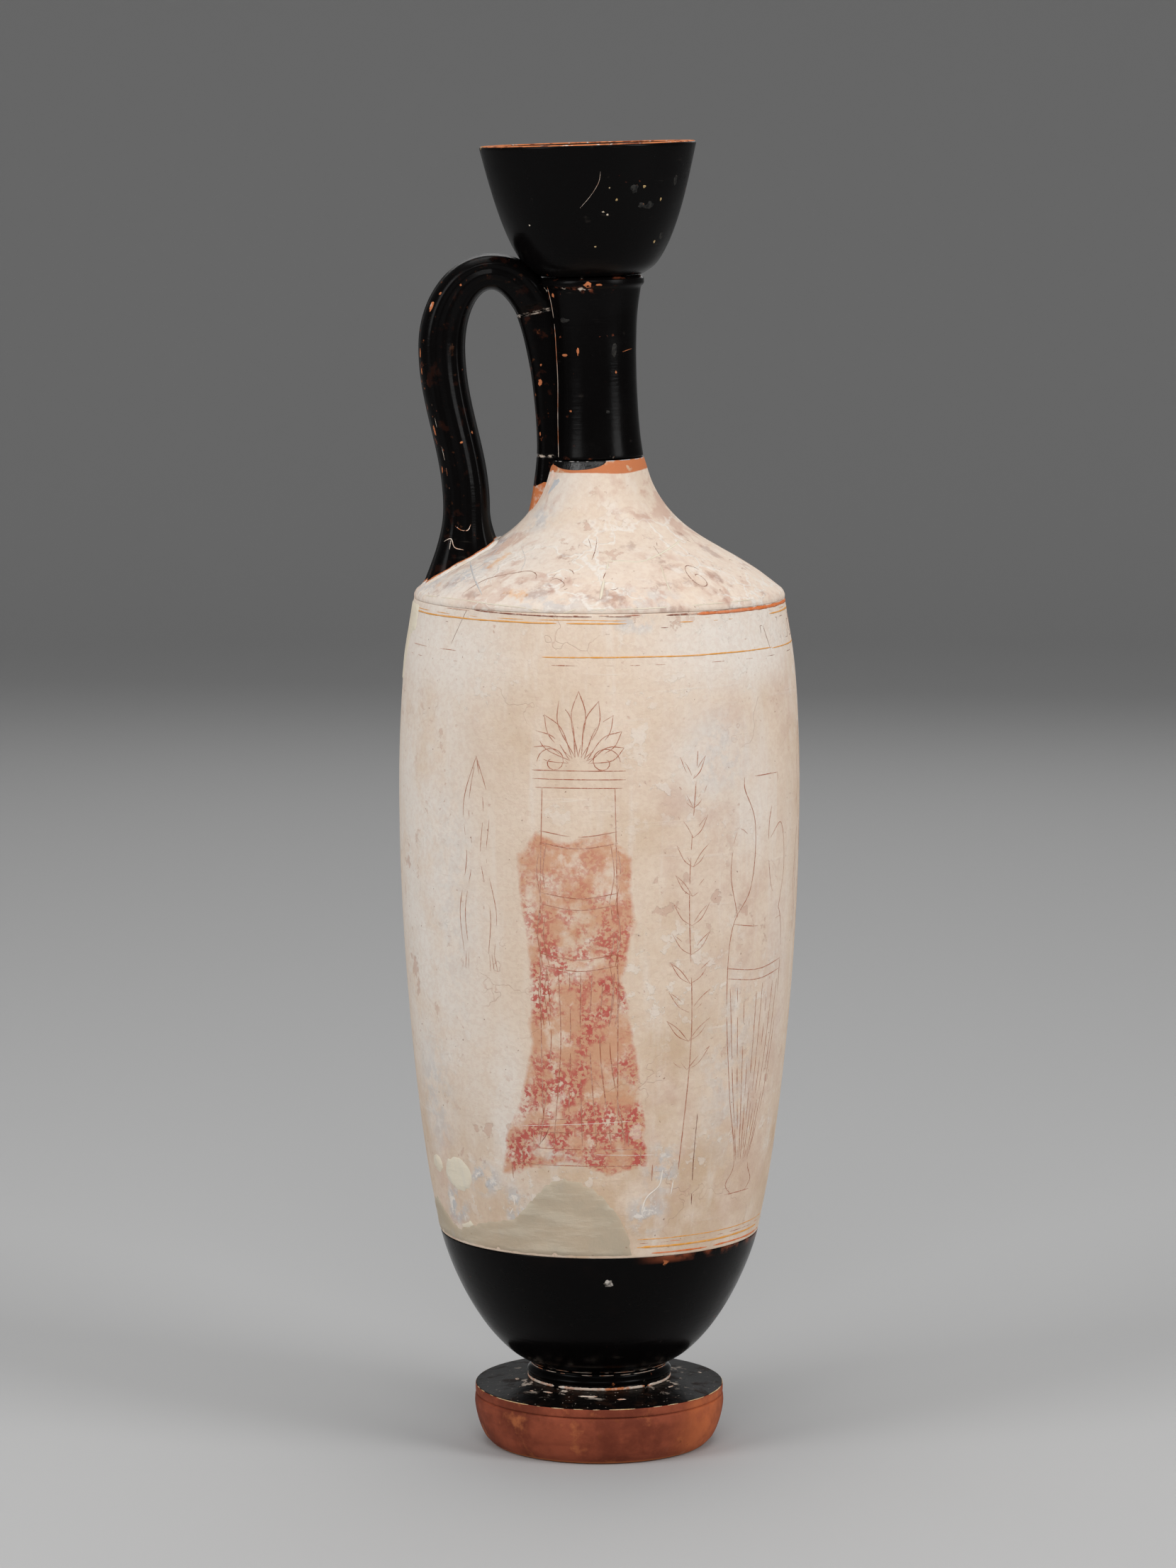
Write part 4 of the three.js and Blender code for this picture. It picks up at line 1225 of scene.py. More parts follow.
class FLASK_OT_body(bpy.types.Operator):
    """Throw the black bowl, the white wall and the shoulder."""
    bl_idname = "flask.body"
    bl_label = "Body"

    def execute(self, context):
        bowl = throw("bowl_turned", "lower_body", gloss_bowl(), 5.2)
        paint_values(
            bowl.data, "brown",
            lambda v: smooth_share(v.co.z / MM, 63.6, 64.4)
            * smooth_share(turn_of(v.co), 12, 26) * (1 - smooth_share(turn_of(v.co), 150, 170)),
        )
        chipped(bowl, lambda v, turn, height: 0.5)
        finish_piece(bowl, "black_gloss", "lower_body")
        wall = throw("wall_turned", "body_wall", ground_wall(), 5.9)
        tint_wall(wall)
        finish_piece(wall, "white_ground", "body_wall")
        shoulder = throw("shoulder_turned", "shoulder", ground_shoulder(), 7.4)
        tint_shoulder(shoulder)
        finish_piece(shoulder, "white_ground", "shoulder")
        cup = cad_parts["oil_cup"]
        cup.data.materials.clear()
        cup.data.materials.append(clay_finish("Raw clay cup"))
        return {"FINISHED"}


class FLASK_OT_neck(bpy.types.Operator):
    """Throw the neck and the mouth."""
    bl_idname = "flask.neck"
    bl_label = "Neck and Mouth"

    def execute(self, context):
        neck = throw("neck_turned", "neck", gloss_neck(), 8.8)
        heights = heights_of(neck.data)

        def groove(vertex):
            height = heights[vertex.index]
            return max(
                smooth_share(height, 346.6, 347.4) * (1 - smooth_share(height, 348.0, 348.6)),
                smooth_share(height, 350.2, 350.9),
                1 - smooth_share(height, 297.7, 298.4),
            )

        paint_values(neck.data, "groove", groove)
        chipped(neck, lambda v, turn, height: 0.6)
        finish_piece(neck, "black_gloss", "neck")
        mouth = throw("mouth_turned", "mouth", gloss_mouth(), 9.7)
        heights = heights_of(mouth.data)
        rim = max(heights)
        paint_values(mouth.data, "lip", lambda v: smooth_share(heights[v.index], rim - 0.5, rim - 0.1))
        chipped(
            mouth,
            lambda v, turn, height: 0.35 + 1.2 * bump_at(turn, 35, 22) * smooth_share(height, 362, 372),
        )
        finish_piece(mouth, "black_gloss", "mouth")
        return {"FINISHED"}


def bump_at(value, centre, width):
    """A soft hump: 1 at the centre, 0 a width away."""
    away = abs((value - centre + 180) % 360 - 180) / width
    return max(0.0, 1 - away) ** 2 * (1 + 2 * away) if away < 1 else 0.0


def chipped(piece, share_at):
    heights = heights_of(piece.data)
    paint_values(piece.data, "chips", lambda v: share_at(v, turn_of(v.co), heights[v.index]))


# Where the slip is chalky, warm, rosy or crusted: [degrees, height, half width, half height, amount]
CHALK = (
    (-62, 175, 26, 95, 1.0), (-44, 150, 12, 70, 0.6), (-60, 243, 34, 20, 0.9), (-20, 83, 14, 7, 0.4),
    (-30, 112, 8, 26, 0.8), (34, 212, 16, 18, 0.6), (48, 200, 12, 20, 0.6), (48, 246, 34, 14, 0.9),
    (66, 150, 10, 50, 0.4), (150, 170, 60, 90, 0.5), (-140, 150, 50, 90, 0.7), (110, 235, 40, 20, 0.5),
)
# The four wide rows low down, at heights 80 to 92, make the wall warmer and darker all round towards its
# foot.
WARM = (
    (0, 190, 30, 60, 0.3), (-30, 226, 26, 22, 0.35), (18, 110, 18, 45, 0.7), (60, 110, 14, 60, 0.6),
    (-8, 232, 20, 12, 0.3), (100, 150, 50, 90, 0.4), (20, 84, 44, 26, 1.0), (-62, 92, 30, 34, 1.0),
    (90, 84, 60, 24, 0.7), (-64, 225, 8, 30, 0.4), (0, 150, 30, 50, 0.35), (0, 80, 60, 22, 0.8),
)
ROSE = (
    (40, 205, 14, 28, 0.6), (66, 232, 10, 18, 0.5), (46, 168, 14, 26, 0.5), (64, 130, 12, 60, 0.5),
    (24, 200, 8, 34, 0.4), (22, 100, 9, 26, 0.5), (-72, 240, 12, 14, 0.3), (52, 100, 12, 30, 0.5),
    (120, 200, 40, 50, 0.4), (-62, 90, 10, 16, 0.5),
)
CRUST = (
    (-62, 110, 10, 18, 0.45), (-10, 98, 20, 5, 0.35), (-46, 170, 8, 40, 0.2), (36, 215, 10, 12, 0.35),
    (44, 120, 12, 30, 0.3), (150, 120, 30, 30, 0.35), (-130, 100, 30, 20, 0.4),
)
SHOULDER_CRUST = ((150, 268, 40, 6, 0.4), (-110, 266, 20, 6, 0.6))

# Crusts that the photograph shows: pixel of the middle, half width in degrees, half height, amount
WALL_CRUST_SEEN = {
    "beside the large plug": (682, 1662, 7, 5, 1.0),
    "below the plugs": (644, 1700, 7, 6, 1.0),
    "left of the dome": (726, 1703, 4, 7, 0.9),
    "right of the dome": (912, 1713, 7, 6, 0.8),
    "above the right lines": (935, 1649, 6, 8, 0.8),
    "under the brown edge": (900, 880, 8, 3, 0.6),
}
SHOULDER_CRUST_SEEN = {
    "round the left crack": (666, 806, 8, 5, 0.9),
    "beside the root": (612, 820, 10, 4, 0.8),
    "behind the root": (700, 770, 12, 4, 0.8),
    "under the tongue": (764, 728, 14, 4, 0.7),
    "front edge": (778, 850, 12, 3, 0.6),
    "right of the front": (905, 846, 14, 3, 0.5),
}


# Red cloth over the slab: its outline in [degrees, height]
CLOTH = (
    ((-24, 186), (-18, 193), (-8, 190), (2, 193), (9, 186), (10, 168), (7, 150), (10, 130), (14, 108),
     (15, 94), (4, 91), (-10, 95), (-22, 93), (-33, 90), (-31, 100), (-25, 112), (-21, 128), (-20, 150)),
)


def blobs(places, turn, height):
    total = 0.0
    for degrees, middle, half_width, half_height, amount in places:
        across = ((turn - degrees + 180) % 360 - 180) / half_width
        away = math.hypot(across, (height - middle) / half_height)
        if away < 1.4:
            total = max(total, amount * (1 - smooth_share(away, 0.35, 1.4)))
    return total


def inside_share(outline, turn, height, softness):
    """1 well inside an outline, 0 well outside, and soft between."""
    inside = False
    nearest = 1e9
    for (ax, ay), (bx, by) in zip(outline, outline[1:] + outline[:1]):
        if (ay > height) != (by > height) and turn < (bx - ax) * (height - ay) / (by - ay) + ax:
            inside = not inside
        edge = Vector((bx - ax, by - ay))
        to = Vector((turn - ax, height - ay))
        share = min(1.0, max(0.0, to.dot(edge) / max(1e-9, edge.length_squared)))
        nearest = min(nearest, (to - edge * share).length)
    return smooth_share(nearest if inside else -nearest, -softness, softness)


def crusts(ground, seen_places, hand_places):
    """Crusts at [degrees, height], from pixels of the photograph and from places beyond it."""
    bpy.context.view_layer.update()
    found = [(*seen_at(ground, across, down), *size) for across, down, *size in seen_places.values()]
    return found + list(hand_places)


def tint_wall(wall):
    mesh = wall.data
    crusted = crusts(wall, WALL_CRUST_SEEN, CRUST)
    turns = [turn_of(v.co) for v in mesh.vertices]
    paint_values(mesh, "chalk", lambda v: blobs(CHALK, turns[v.index], v.co.z / MM))
    paint_values(mesh, "warm", lambda v: blobs(WARM, turns[v.index], v.co.z / MM))
    paint_values(mesh, "rose", lambda v: blobs(ROSE, turns[v.index], v.co.z / MM))
    paint_values(mesh, "crust", lambda v: blobs(crusted, turns[v.index], v.co.z / MM))

    def wash(vertex):
        turn, height = turns[vertex.index], vertex.co.z / MM
        if abs(turn) > 120 or not 85 < height < 235:
            return 0.0
        return max(inside_share(outline, turn, height, 3.0) for outline in CLOTH)

    paint_values(mesh, "wash", wash)
    paint_values(
        mesh, "strong",
        lambda v: 0.35 + 0.65 * (1 - smooth_share(v.co.z / MM, 150, 185)),
    )


def tint_shoulder(shoulder):
    mesh = shoulder.data
    crusted = crusts(shoulder, SHOULDER_CRUST_SEEN, SHOULDER_CRUST)
    heights = heights_of(mesh)
    turns = [turn_of(v.co) for v in mesh.vertices]
    paint_values(mesh, "chalk", lambda v: 0.25 + 0.5 * bump_at(turns[v.index], -50, 60))
    paint_values(mesh, "warm", lambda v: 0.5 * smooth_share(heights[v.index], 268, 285))
    paint_values(mesh, "rose", lambda v: 0.3 * (1 - smooth_share(heights[v.index], 262, 280)))
    paint_values(mesh, "slope", lambda v: 1 - smooth_share(heights[v.index], 276, 284))
    paint_values(mesh, "crust", lambda v: blobs(crusted, turns[v.index], heights[v.index]))

    def drip(turn):
        smile = max(0.0, 1 - ((turn + 29) / 37) ** 2)
        return 2.5 * math.sqrt(smile) + 2.0 * bump_at(turn, -75, 16) + 0.4

    paint_values(
        mesh, "collar_black",
        lambda v: heights[v.index] - 297.5 + drip(turns[v.index]),
    )
    paint_values(
        mesh, "collar_clay",
        lambda v: heights[v.index] - 293.7 + 0.6 * bump_at(turns[v.index], 30, 40),
    )


# The handle

SPAN_STEPS = 60
QUARTER_ROUND = 0.55
GENTLE_BEND = 0.37


def span(start, leave, arrive, end):
    """Points on a smooth line that leaves its start along one handle and arrives along another."""
    start, end = Vector(start), Vector(end)
    pulls = start + Vector(leave), end - Vector(arrive)
    return geometry.interpolate_bezier(start, *pulls, end, SPAN_STEPS + 1)


def chained(*spans):
    """Spans joined into one list of points."""
    return [point for part in spans[:-1] for point in part[:-1]] + spans[-1]


def sway(start, end):
    """An upright stretch that sways from one reach to another."""
    bend = (0, (end.y - start.y) * GENTLE_BEND)
    return span(start, bend, bend, end)


def shoulder_of_strap(belly, crown):
    """A quarter of an oval, from upright at the belly to level at the crown."""
    up = (0, (crown.y - belly.y) * QUARTER_ROUND)
    return span(belly, up, ((crown.x - belly.x) * QUARTER_ROUND, 0), crown)


def strap_sides():
    """The strap's outer and inner side, from root to break: [reach, height from the edge]."""
    size = bpy.context.scene.flask_handle
    waist, belly, crown = Vector(size.waist), Vector(size.belly), Vector(size.crown)
    inward = Vector((size.thickness, 0))
    under_crown = crown - Vector((0, size.crown_thickness))
    tip, parting = Vector(size.tip), Vector(size.parting)
    outer = chained(
        span(size.toe, (-2.5 * MM, 7 * MM), (0, waist.y * GENTLE_BEND), waist),
        sway(waist, belly),
        shoulder_of_strap(belly, crown),
        span(crown, ((tip.x - crown.x) * QUARTER_ROUND, 0), (-4 * MM, -8 * MM), tip),
    )
    inner = chained(
        span(size.heel, (1.5 * MM, 5 * MM), (0, (waist.y - size.heel[1]) * GENTLE_BEND), waist - inward),
        sway(waist - inward, belly - inward),
        shoulder_of_strap(belly - inward, under_crown),
        span(under_crown, ((parting.x - crown.x) * GENTLE_BEND, 0), (-1.5 * MM, -3 * MM), parting),
    )
    return outer, inner


def strap_width(share):
    """The strap flares at its root, and narrows from the crown to its end."""
    size = bpy.context.scene.flask_handle
    stretch = share * 4
    flare = (size.root_width - size.width) * (1 - min(1, stretch)) ** 2
    return size.width + flare - (size.width - size.tip_width) * max(0, stretch - 3)


def tongue_side():
    """The tongue's free side from the break down to its toe: [reach, height from the edge]."""
    size = bpy.context.scene.flask_handle
    side = chained(
        span(size.tongue_toe, (-2 * MM, 7 * MM), (0, 8 * MM), size.tongue_waist),
        span(size.tongue_waist, (0, 12 * MM), (3.2 * MM, 9.5 * MM), size.parting),
    )
    return side[::-1]


def edge_height():
    """The height of the shoulder's edge, in millimetres."""
    return (WALL_TOP + bpy.context.scene.flask_handle.edge) / MM


def strap_section(turn):
    """The strap's section, one unit wide, from 0 at its inner edge to 1 at its outer edge."""
    c, s = math.cos(turn), math.sin(turn)
    x = math.copysign(abs(c) ** 0.72, c) * 0.5
    y = math.copysign(abs(s) ** 0.72, s) * 0.5
    furrow = 0.045 * max(0.0, 1 - ((y - 0.1) / 0.1) ** 2) + 0.03 * max(0.0, 1 - ((y + 0.22) / 0.1) ** 2)
    x -= math.copysign(furrow, x) if abs(x) > 0.3 else 0
    dent = 0.045 * max(0.0, 1 - ((abs(x) - 0.14) / 0.13) ** 2)
    y -= math.copysign(dent, y) if abs(y) > 0.3 else 0
    return x, y + 0.5


def ring_faces(rings, sides):
    """Faces of a closed bar whose points run round it ring by ring."""
    faces = []
    for i in range(rings - 1):
        for k in range(sides):
            a, b = i * sides + k, i * sides + (k + 1) % sides
            faces.append((a, b, b + sides, a + sides))
    faces.append(tuple(range(sides - 1, -1, -1)))
    faces.append(tuple(range((rings - 1) * sides, rings * sides)))
    return faces


def break_height(reach):
    """The height of the break between handle and tongue, in millimetres."""
    size = bpy.context.scene.flask_handle
    parting_reach, parting_height = (part / MM for part in size.parting)
    return edge_height() + parting_height + (parting_reach - reach) * size.break_rise


SHOULDER_START = 0.2575
COLLAR_START = 0.29
NECK_REACH = 0.0128
BITE = 0.0012


def shoulder_height_at(radius):
    """The height of the shoulder's outside at a radius."""
    rows = [(r, h) for h, r in SURFACES["shoulder"].rows if h > SHOULDER_START]
    rows.sort()
    if radius >= rows[-1][0]:
        return rows[-1][1]
    for (a, low), (b, high) in zip(rows, rows[1:]):
        if a <= radius <= b:
            return low + (high - low) * (radius - a) / max(1e-9, b - a)
    return rows[0][1]


def seat_on_flask(point):
    """Keeps a point of the handle from going deeper than the clay that it is luted to."""
    throwing = bpy.context.scene.flask_throwing
    rise = max(0.0, point.z - throwing.lean_start)
    axis = lean_point(Vector((0, 0, throwing.lean_start + rise)))
    flat = Vector((point.x - axis.x, point.y, 0))
    radius = flat.length
    if point.z < COLLAR_START:
        point.z = max(point.z, shoulder_height_at(radius) - BITE)
    elif radius < NECK_REACH:
        flat = flat.normalized() * NECK_REACH
        point.x, point.y = axis.x + flat.x, flat.y
    return point


class FLASK_OT_handle(bpy.types.Operator):
    """Pull the strap handle, its broken-off tongue and the slip round its root."""
    bl_idname = "flask.handle"
    bl_label = "Handle"

    def execute(self, context):
        gloss = gloss_handle()
        handle, border = pull_strap(gloss)
        finish_piece(handle, "black_gloss", "handle")
        tongue = draw_tongue(gloss)
        finish_piece(tongue, "black_gloss", "handle_tongue")
        finish_piece(lute_root(border), "white_ground")
        return {"FINISHED"}


def pull_strap(gloss):
    """The handle from its root to the break, and the border where it meets the shoulder."""
    sides = 72
    points = []
    border = [None] * sides
    before = [None] * sides
    edge = edge_height()
    outer_side, inner_side = strap_sides()
    rings = len(outer_side)
    for i, (outer, inner) in enumerate(zip(outer_side, inner_side)):
        width = strap_width(i / (rings - 1)) / MM
        for k in range(sides):
            x, y = strap_section(k / sides * math.tau)
            middle = inner.lerp(outer, y) / MM
            reach, height = middle.x, edge + middle.y
            lump = noise.noise(Vector((reach * 0.05, height * 0.05, x * 2))) * 0.3
            side = x * (width + lump)
            above = height - break_height(reach)
            if reach < 25.5 and above < 2.6:
                chip = (1 - (above / 2.6) ** 2) * max(0.0, 1 - ((reach - 20) / 4.6) ** 2)
                side -= math.copysign(min(1.2 * chip, abs(side)), side)
                height += noise.noise(Vector((reach, side * 0.7, 4))) * 0.18 * (1 - above / 2.6)
            point = Vector((-reach, side, height)) * MM
            over = point.z - shoulder_height_at(math.hypot(point.x, point.y))
            if before[k] and border[k] is None and over > 0:
                border[k] = before[k][0].lerp(point, -before[k][1] / (over - before[k][1]))
            before[k] = (point.copy(), over) if over <= 0 else before[k]
            points.append(seat_on_flask(point))
    handle = mesh_from("strap_handle", points, ring_faces(rings, sides), gloss)
    mesh = handle.data

    def edge_wear(vertex):
        outer = smooth_share(-vertex.normal.x, 0.6, 0.95)
        return 0.05 + outer * 0.75 * smooth_share(vertex.co.z / MM, 285, 300)

    def bare(vertex):
        over = vertex.co.z - shoulder_height_at(math.hypot(vertex.co.x, vertex.co.y))
        return 1 - smooth_share(over / MM, 0.1, 1.3)

    def pale(vertex):
        reach = -vertex.co.x / MM
        return (1 - smooth_share(abs(vertex.co.z / MM - break_height(reach)), 0.05, 0.3)) if reach < 26 else 0

    paint_values(mesh, "worn", edge_wear)
    paint_values(mesh, "bare", bare)
    paint_values(mesh, "pale", pale)
    paint_values(mesh, "chips", lambda v: 0.12 + 0.9 * smooth_share(-v.normal.x, 0.5, 0.95))
    return handle, [place for place in border if place]


def draw_tongue(gloss):
    """The strap's end on the neck: black down to the joint, then bare clay on the collar."""
    size = bpy.context.scene.flask_handle
    buried, width, edge = size.tongue_buried / MM, size.tongue_width / MM, edge_height()
    points = []
    side = tongue_side()
    rows, sides = len(side), 40
    for i, place_on_side in enumerate(side):
        reach, height = place_on_side.x / MM, edge + place_on_side.y / MM - 0.3
        share = 1 - i / (rows - 1)
        for k in range(sides):
            x, y = strap_section(k / sides * math.tau)
            out = reach + (buried - reach) * (1 - y)
            lump = noise.noise(Vector((reach * 0.3, height * 0.06, k * 0.2))) * 0.3
            level = height + (reach - out) * size.break_rise * share
            crack = 0.35 * max(0.0, 1 - abs(level - 298) / 0.45)
            point = Vector((-(out + (lump - crack) * y), x * (width - crack * 2), level)) * MM
            straight = upright_height(point.z)
            axis = lean_point(Vector((0, 0, straight)))
            flat = Vector((point.x - axis.x, point.y, 0))
            wall = SURFACES["neck" if level > 297.4 else "shoulder"]
            limit = wall.radius(straight) - BITE
            if flat.length < limit:
                flat = flat.normalized() * limit
                point = Vector((axis.x + flat.x, flat.y, point.z))
            points.append(point)
    tongue = mesh_from("strap_tongue", points, ring_faces(rows, sides), gloss)
    mesh = tongue.data

    def pale(vertex):
        reach, level = -vertex.co.x / MM, vertex.co.z / MM
        seam = 1 - smooth_share(abs(level - 298), 0.1, 0.4)
        lip = 1 - smooth_share(break_height(reach) - level, 0.2, 0.55)
        return max(seam, lip)

    paint_values(mesh, "worn", lambda v: 0.1 + 0.4 * smooth_share(-v.normal.x, 0.6, 0.95))
    paint_values(mesh, "bare", lambda v: 1 - smooth_share(v.co.z / MM - v.normal.x * 1.5, 289.5, 291.5))
    paint_values(mesh, "pale", pale)
    paint_values(mesh, "chips", lambda v: 0.3)
    return tongue


def lute_root(border):
    """The bead of clay and slip that seals the handle's root to the shoulder."""
    middle = sum(border, Vector()) / len(border)
    profile = ((-0.9, -0.9), (-0.5, 0.75), (0.0, 0.55), (0.5, 0.22), (1.1, 0.06), (1.7, -0.25), (0.6, -0.9))
    points, faces = [], []
    count = len(profile)
    for i, place in enumerate(border):
        outward = Vector((place.x - middle.x, place.y - middle.y, 0)).normalized()
        swell = 0.75 + 0.5 * noise.noise(place * 260) + 0.4 * smooth_share(-place.y / MM, -2, 8)
        for across, rise in profile:
            spot = place + outward * across * swell * MM
            spot.z = shoulder_height_at(math.hypot(spot.x, spot.y)) + rise * swell * MM
            points.append(spot)
        for k in range(count):
            a, b = i * count + k, i * count + (k + 1) % count
            c, d = (i + 1) % len(border) * count + k, (i + 1) % len(border) * count + (k + 1) % count
            faces.append((a, b, d, c))
    bead = mesh_from("root_luting", points, faces, root_slip())
    paint_values(
        bead.data, "rim",
        lambda v: smooth_share(
            v.co.z - shoulder_height_at(math.hypot(v.co.x, v.co.y)), 0.00025, 0.0005),
    )
    return bead


# Plaster fills

def slab(name, surface, outline, finish, lift, depth, border=0.0014, cell=1.5):
    """A thin closed piece that lies on a thrown surface inside an outline of [degrees, height]."""
    rim = []
    count = len(outline)
    for i in range(count):
        a, b = Vector(outline[i]), Vector(outline[(i + 1) % count])
        pieces = max(1, round((b - a).length / (cell * 0.6)))
        for k in range(pieces):
            point = a.lerp(b, k / pieces)
            stray = noise.noise(Vector((point.x * 0.35, point.y * 0.35, 7))) * cell * 0.35
            normal = Vector((b.y - a.y, a.x - b.x)).normalized()
            rim.append(point + normal * stray)
    low_x, high_x = min(p.x for p in rim), max(p.x for p in rim)
    low_y, high_y = min(p.y for p in rim), max(p.y for p in rim)
    spots = list(rim)
    y = low_y
    row = 0
    while y < high_y:
        x = low_x + (cell / 2 if row % 2 else 0)
        while x < high_x:
            if inside_share([tuple(p) for p in rim], x, y, 1e-6) > 0.5:
                away = min((Vector((x, y)) - p).length for p in rim)
                if away > cell * 0.5:
                    spots.append(Vector((x, y)))
            x += cell
        y += cell * 0.87
        row += 1
    edges = [(i, (i + 1) % len(rim)) for i in range(len(rim))]
    result = geometry.delaunay_2d_cdt(spots, edges, [list(range(len(rim)))], 1, 1e-7)
    flat, faces = result[0], result[2]
    points, all_faces, rims = [], [], []
    total = len(flat)
    for layer in (0, 1):
        for p in flat:
            away = min((p - q).length for q in rim) * MM
            if layer == 0:
                share = smooth_share(away, 0, border)
                grain = noise.noise(Vector((p.x * 0.25, p.y * 0.25, 3))) * lift * 0.5
                height_over = -0.0003 + (lift + 0.0003) * share + grain * share
            else:
                height_over = -depth
            points.append(surface.point(p.x, p.y * MM, height_over))
            rims.append(1 - smooth_share(away / MM, 0.4, 2.2) if layer == 0 else 0)
    for face in faces:
        all_faces.append(tuple(face))
        all_faces.append(tuple(i + total for i in reversed(face)))
    counts = {}
    for face in faces:
        for a, b in zip(face, list(face[1:]) + [face[0]]):
            counts[(a, b)] = counts.get((a, b), 0) + 1
    for a, b in counts:
        if (b, a) not in counts:
            all_faces.append((b, a, a + total, b + total))
    piece = mesh_from(name, points, all_faces, finish)
    if len(piece.data.vertices) == len(rims):
        paint_values(piece.data, "thin_edge", lambda v: rims[v.index])
    else:
        paint_values(piece.data, "thin_edge", lambda v: 0)
    return piece


# Small fills and slip that the photograph shows, each by the pixels of its outline
LOW_PLASTER = ((650, 1724), (662, 1719), (672, 1726), (668, 1735), (652, 1735))
PINK_WEDGE = ((780, 656), (786, 667), (760, 707), (750, 719), (755, 712), (772, 688), (778, 664))
BLUE_SMEAR = ((783.5, 669.5), (800, 672), (776, 695.5), (764.6, 707))


def cap_outline(node, rounds=2):
    """The outline of a fill on the wall's outside, as [degrees, height], from its own solid."""
    shape = bmesh.new()
    shape.from_mesh(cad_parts[node].data)
    bmesh.ops.remove_doubles(shape, verts=shape.verts, dist=1e-6)
    cap = {
        face for face in shape.faces
        if face.normal.xy.dot(face.calc_center_median().xy.normalized()) > 0.6
    }
    links = {}
    for edge in shape.edges:
        if sum(face in cap for face in edge.link_faces) == 1:
            a, b = edge.verts
            links.setdefault(a, []).append(b)
            links.setdefault(b, []).append(a)
    loop = [min(links, key=lambda corner: corner.co.z)]
    for step in range(len(links) - 1):
        ahead = [corner for corner in links[loop[-1]] if corner not in loop[-2:]]
        if ahead[0] == loop[0]:
            break
        loop.append(ahead[0])
    outline = [Vector((turn_of(corner.co), corner.co.z / MM)) for corner in loop]
    shape.free()
    for i in range(rounds):
        pairs = zip(outline, outline[1:] + outline[:1])
        outline = [a.lerp(b, share) for a, b in pairs for share in (0.25, 0.75)]
    return [tuple(point) for point in outline]


def seen_outline(ground, outline):
    """An outline of [degrees, height] from the pixels that the photograph shows it at."""
    return [seen_at(ground, across, down) for across, down in outline]


class FLASK_OT_fills(bpy.types.Operator):
    """Lay the plaster fills into the wall."""
    bl_idname = "flask.fills"
    bl_label = "Plaster Fills"

    def execute(self, context):
        paint = context.scene.flask_paint
        plaster, pale = plaster_finish(), plaster_finish("Pale plaster", True)
        wall, wall_object = SURFACES["body_wall"], bpy.data.objects["wall_turned"]
        for name, node, finish in (
            ("plaster_front", "front_fill", plaster),
            ("plaster_upper", "upper_fill", pale),
            ("plaster_large", "large_plug", pale),
            ("plaster_small", "small_plug", pale),
        ):
            piece = slab(name, wall, cap_outline(node), finish, paint.fill_lift, 0.0015)
            finish_piece(piece, "plaster", node)
        low = seen_outline(wall_object, LOW_PLASTER)
        finish_piece(slab("plaster_low", wall, low, pale, paint.fill_lift, 0.0006, cell=1.0), "plaster")
        collar, collar_object = SURFACES["shoulder"], bpy.data.objects["shoulder_turned"]
        colours = context.scene.flask_colours
        for name, outline, shade, lift in (
            ("collar_wedge", PINK_WEDGE, colours.slip_pink, 0.0003),
            ("collar_smear", BLUE_SMEAR, colours.slip_grey, 0.00012),
        ):
            finish = root_slip_plain(name.replace("_", " ").capitalize(), shade)
            piece = slab(name, collar, seen_outline(collar_object, outline), finish, lift, 0.0006, cell=0.9)
            finish_piece(piece, "white_ground")
        return {"FINISHED"}


# Painted lines

class Brush:
    """Brush strokes on one thrown surface, in [degrees, height] before the lean."""

    def __init__(self, surface, seed):
        self.surface = surface
        self.luck = random.Random(seed)
        self.strokes = []

    def line(self, points, width=0.4, smooth=True, kept=1.0, step=1.1):
        """Draws one stroke, broken at random where only a share of it is kept."""
        path = [Vector(p) for p in points]
        path = curve_through(path, step) if smooth else [
            q for a, b in zip(path, path[1:]) for q in curve_through([a, b], step)[:-1]
        ] + [path[-1]]
        part = []
        offset = self.luck.random() * 100
        for point in path:
            wear = noise.noise(Vector((point.x * 0.22, point.y * 0.22, offset))) * 0.5 + 0.5
            if wear < kept:
                part.append(point)
            else:
                self.keep(part, width)
                part = []
        self.keep(part, width)

    def keep(self, part, width):
        if len(part) < 2:
            return
        last = len(part) - 1
        stroke = []
        for i, point in enumerate(part):
            taper = min(1.0, 0.35 + min(i, last - i) * 0.35)
            uneven = 0.8 + 0.4 * noise.noise(Vector((point.x * 0.5, point.y * 0.5, 2)))
            place = self.surface.point(point.x, point.y * MM)
            if place:
                stroke.append((place, width * MM * taper * uneven))
        if len(stroke) > 1:
            self.strokes.append(stroke)

    def ring(self, height, start, end, width=0.45, kept=1.0, wave=0.12):
        count = max(2, int(abs(end - start) / 1.5))
        points = []
        for i in range(count + 1):
            turn = start + (end - start) * i / count
            points.append((turn, height + noise.noise(Vector((turn * 0.07, height, 0))) * wave))
        self.line(points, width, kept=kept)

    def lay(self, name, ground, finish):
        """Makes real mesh of the strokes, laid on the ground object."""
        paint = bpy.context.scene.flask_paint
        lines = bpy.data.curves.new(name + "_strokes", "CURVE")
        lines.dimensions = "3D"
        for stroke in self.strokes:
            spline = lines.splines.new("POLY")
            spline.points.add(len(stroke) - 1)
            for place, (point, width) in zip(spline.points, stroke):
                place.co = (*point, 1)
                place.radius = width
        strokes = new_object(name + "_strokes", lines)
        piece = grow(name, painted_tree(), {
            "Strokes": strokes,
            "Surface": ground,
            "Brush": paint.brush,
            "Relief": paint.relief,
            "Lift": paint.lift,
            "Finish": finish,
        })
        bpy.data.objects.remove(strokes)
        return piece


